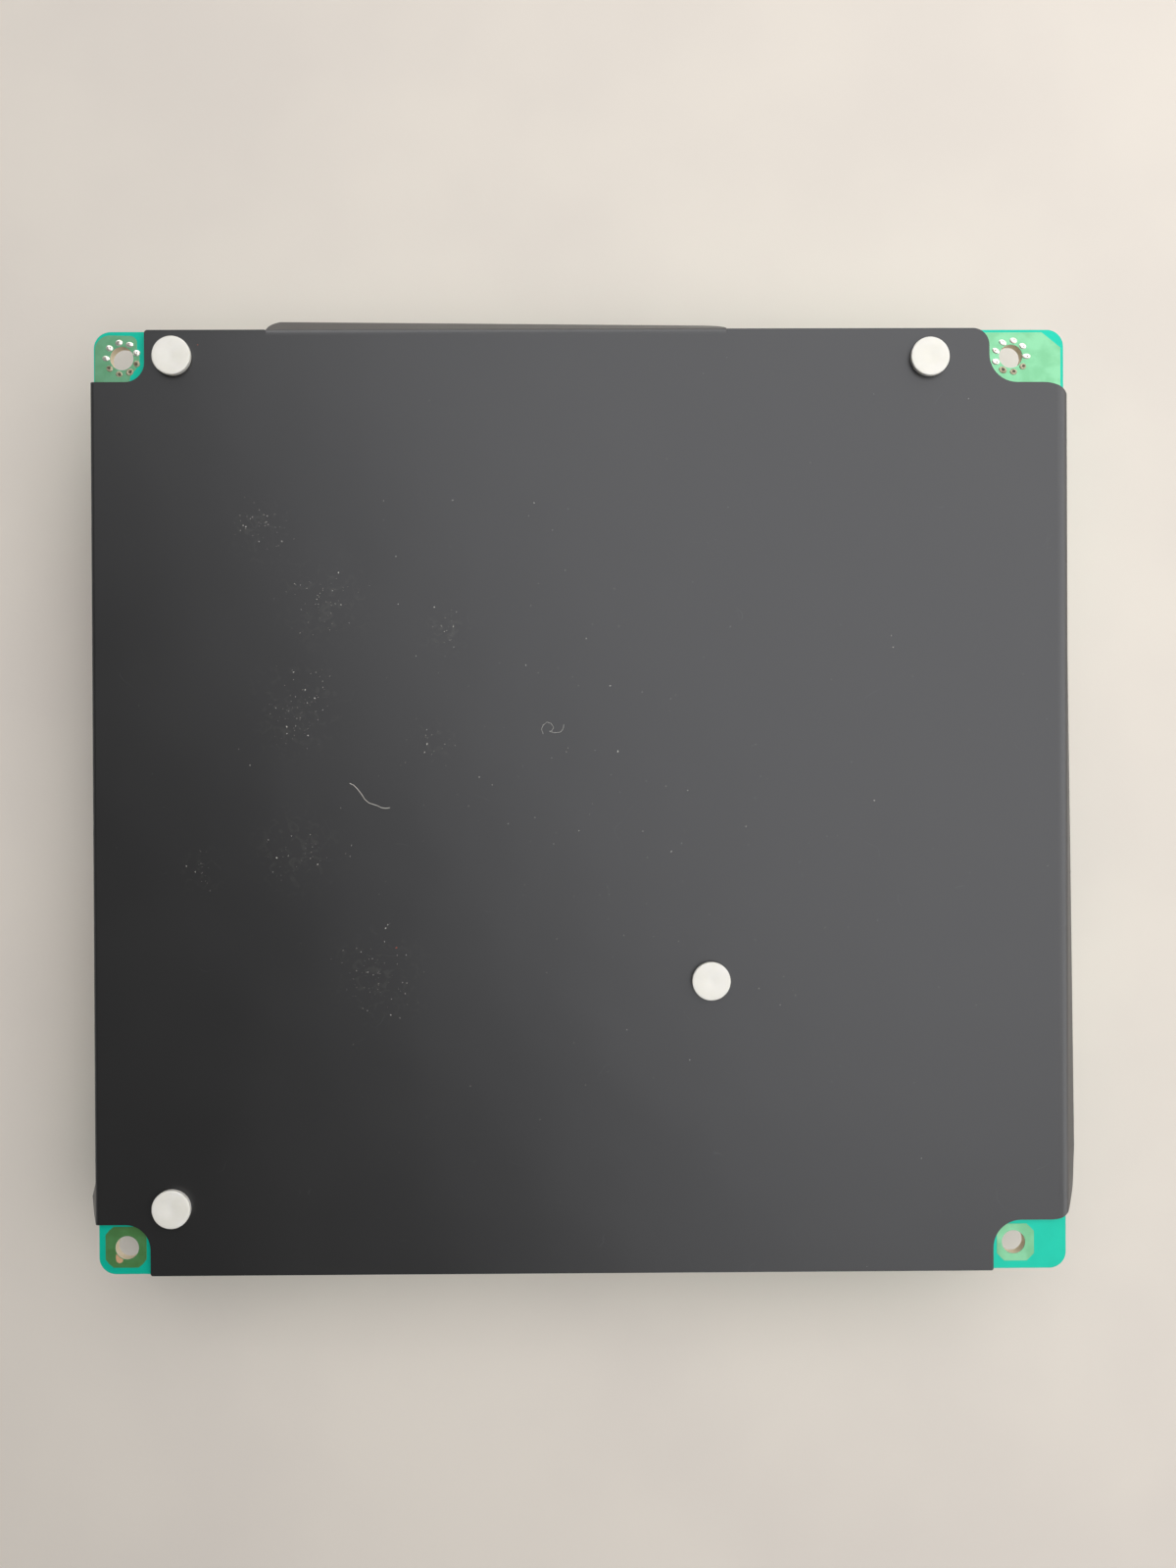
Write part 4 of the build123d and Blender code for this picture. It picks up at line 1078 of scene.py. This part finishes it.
# ---------------------------------------------------------------- power packages
# Six three-legged packages: a moulded epoxy body with drafted sides on a tinned tab with a round
# hole, the legs stepped down in width. Each is held by a spring clip over the edge of its sink.
epoxy = surface("moulded_epoxy", (36, 36, 38), (30, 30, 32), 0.55, grain=0.15, relief=0.01)
package_lift, body_h, body_t, tab_t = 4.0, 9.2, 4.5, 1.3
leg_pitch, step_h, foot_half = 2.54, 2.6, 0.4


def leg(form, at, half, top, paint=0):
    """A stepped leg: a shoulder with these half sizes, and a narrower end that goes into the board."""
    u, v = at
    for wide, low, high in ((half[0], step_h, top), (foot_half, 0.0, step_h + 0.2)):
        block(form, (u - wide, v - half[1], low), (u + wide, v + half[1], high), edge=0.06, paint=paint)


# Which way each package is turned
packages = {"boost_switch": 180, "boost_diode": 180, "bridge_switch_1": 180, "bridge_switch_2": 180,
            "output_rectifier_1": 90, "output_rectifier_2": 90}
for name, turn in packages.items():
    base, top = limits(name)
    at = ((base.x + top.x) / 2, base.y) if turn == 180 else (base.x, (base.y + top.y) / 2)
    tab_top = component_z - base.z
    body_top = package_lift + body_h
    form = bmesh.new()
    # The tab is drawn flat, with a notch in each side, then stood up against the sink
    flank = [
        (5, package_lift), (5, tab_top - 4.6), (4.4, tab_top - 4.2), (4.4, tab_top - 3.2),
        (5, tab_top - 2.8), (5, tab_top - 0.6), (4.4, tab_top),
    ]
    plate(form, mirrored(flank), (0, tab_top - 3.1), 1.8, 0.0, -tab_t)
    bmesh.ops.transform(form, matrix=Matrix.Rotation(math.radians(90), 4, "X"), verts=form.verts)
    for u in (-leg_pitch, 0, leg_pitch):
        leg(form, (u, 2.7), (0.65, 0.25), package_lift + 0.4)
    before = set(form.faces)
    drafted = bmesh.ops.create_cube(form, size=1)["verts"]
    for corner in drafted:
        outer = corner.co.y > 0
        u = math.copysign(4.75 if outer else 5.0, corner.co.x)
        w = (body_top - (0.25 if outer else 0)) if corner.co.z > 0 else package_lift + (0.25 if outer else 0)
        corner.co = Vector((u, body_t if outer else 0.3, w))
    round_edges(form, {line for corner in drafted for line in corner.link_edges}, 0.15)
    lathe(form, [(0.75, body_t - 0.02), (0.65, body_t), (0.6, body_t - 0.015), (0.02, body_t - 0.015)],
          (2.9, 0, body_top - 1.7), turns=24, axis="Y")
    paint_new(form, before, 1)
    seated(form, at, turn)
    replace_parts(new_piece(name + "_package", form, "package_black", tinned, epoxy), name)

# ---------------------------------------------------------------- bridge rectifier and clips
# A flat moulded block with one cut corner for its positive leg and four tinned legs. It and the
# packages are held by folded strips of spring steel.
base, top = limits("bridge_rectifier")
half_w = (top.x - base.x) / 2
bridge_top = component_z - base.z
thick, cut = top.y - base.y, 3.0
form = bmesh.new()
slab(form, [(-half_w, 0, package_lift), (half_w, 0, package_lift), (half_w, 0, bridge_top - cut),
            (half_w - cut, 0, bridge_top), (-half_w, 0, bridge_top)], (0, thick, 0))
round_edges(form, form.edges, 0.3)
for u in (-7.5, -2.5, 2.5, 7.5):
    leg(form, (u, thick / 2), (0.7, 0.3), package_lift + 0.3, paint=1)
seated(form, ((base.x + top.x) / 2, base.y), 180)
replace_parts(new_piece("bridge_block", form, "package_black", epoxy, tinned), "bridge_rectifier")
spring_steel = surface("spring_steel", (176, 178, 180), (150, 152, 154), 0.3, grain=0.3, Metallic=1.0)
dress("package_clips", spring_steel, 0.08)

# ---------------------------------------------------------------- controller and optocouplers
# Small dual-in-line packages: a moulded body with drafted sides and a notch mark at one end, and
# flat tinned legs with broad shoulders.
chip_lift, row_out = 0.8, 4.1
# Each chip's turn, and the number of legs on one of its sides
chips = {"standby_controller": (0, 4), "optocoupler_1": (90, 2), "optocoupler_2": (90, 2)}
for name, (turn, ways) in chips.items():
    base, top = limits(name)
    end = ways * leg_pitch / 2
    chip_top = component_z - base.z
    form = bmesh.new()
    middle_w = chip_lift + (chip_top - chip_lift) / 2
    block(form, (-end, -3.2, middle_w - 0.1), (end, 3.2, chip_top), edge=0.12, taper=0.25)
    block(form, (-end + 0.15, -3.05, chip_lift), (end - 0.15, 3.05, middle_w), edge=0.12)
    lathe(form, [(0.75, chip_top - 0.04), (0.62, chip_top - 0.01), (0.55, chip_top - 0.04),
                 (0.02, chip_top - 0.04)], (-end + 1.4, -1.9, 0), turns=24)
    for way in range(ways):
        u = (way - (ways - 1) / 2) * leg_pitch
        for side in (-1, 1):
            # A leg comes out of the body flat, turns down with a broad shoulder and ends narrow
            for half, inner, low, high, edge in (
                    (0.7, 3.0, middle_w - 0.15, middle_w + 0.15, 0.08),
                    (0.7, 3.8, 1.4, middle_w + 0.1, 0.06), (0.28, 3.8, 0.0, 1.6, 0.06)):
                near, far = sorted((side * inner, side * row_out))
                block(form, (u - half, near, low), (u + half, far, high), edge=edge, paint=1)
    seated(form, middle(base, top), turn)
    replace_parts(new_piece(name + "_chip", form, "package_black", epoxy, tinned), name)

# ---------------------------------------------------------------- table top
# A plain warm-grey surface under the whole object. It isn't part of it. Far beyond the softbox it
# stays pale to the camera and in gloss.
table_grey = (230, 223, 215)
# Round this spot the softbox lights the table. Between these distances from it the glow sets in
lit_spot, pale_from, pale_to = (150, 80, 0), 370, 820
table_top = surface("table_top", table_grey, (225, 218, 211), 0.8, grain=0.8, drift_size=60.0,
                    Specular_IOR_Level=0.1)
tree = table_top.node_tree
off = put(tree, "VectorMath", {0: millimetres(tree), 1: lit_spot}, operation="DISTANCE").outputs["Value"]
far = spread(tree, off, pale_from, pale_to, 0.0, pale_room, smooth=True)
feed(tree, tree.nodes["Principled BSDF"], {
    "Emission Color": colour(*table_grey),
    "Emission Strength": maths(tree, "MULTIPLY", far, seen_directly(tree)),
})
form = bmesh.new()
bmesh.ops.create_grid(form, x_segments=1, y_segments=1, size=4000)
floor = new_piece("floor", form, "", table_top)
floor.location.z = cad_box[0][2]
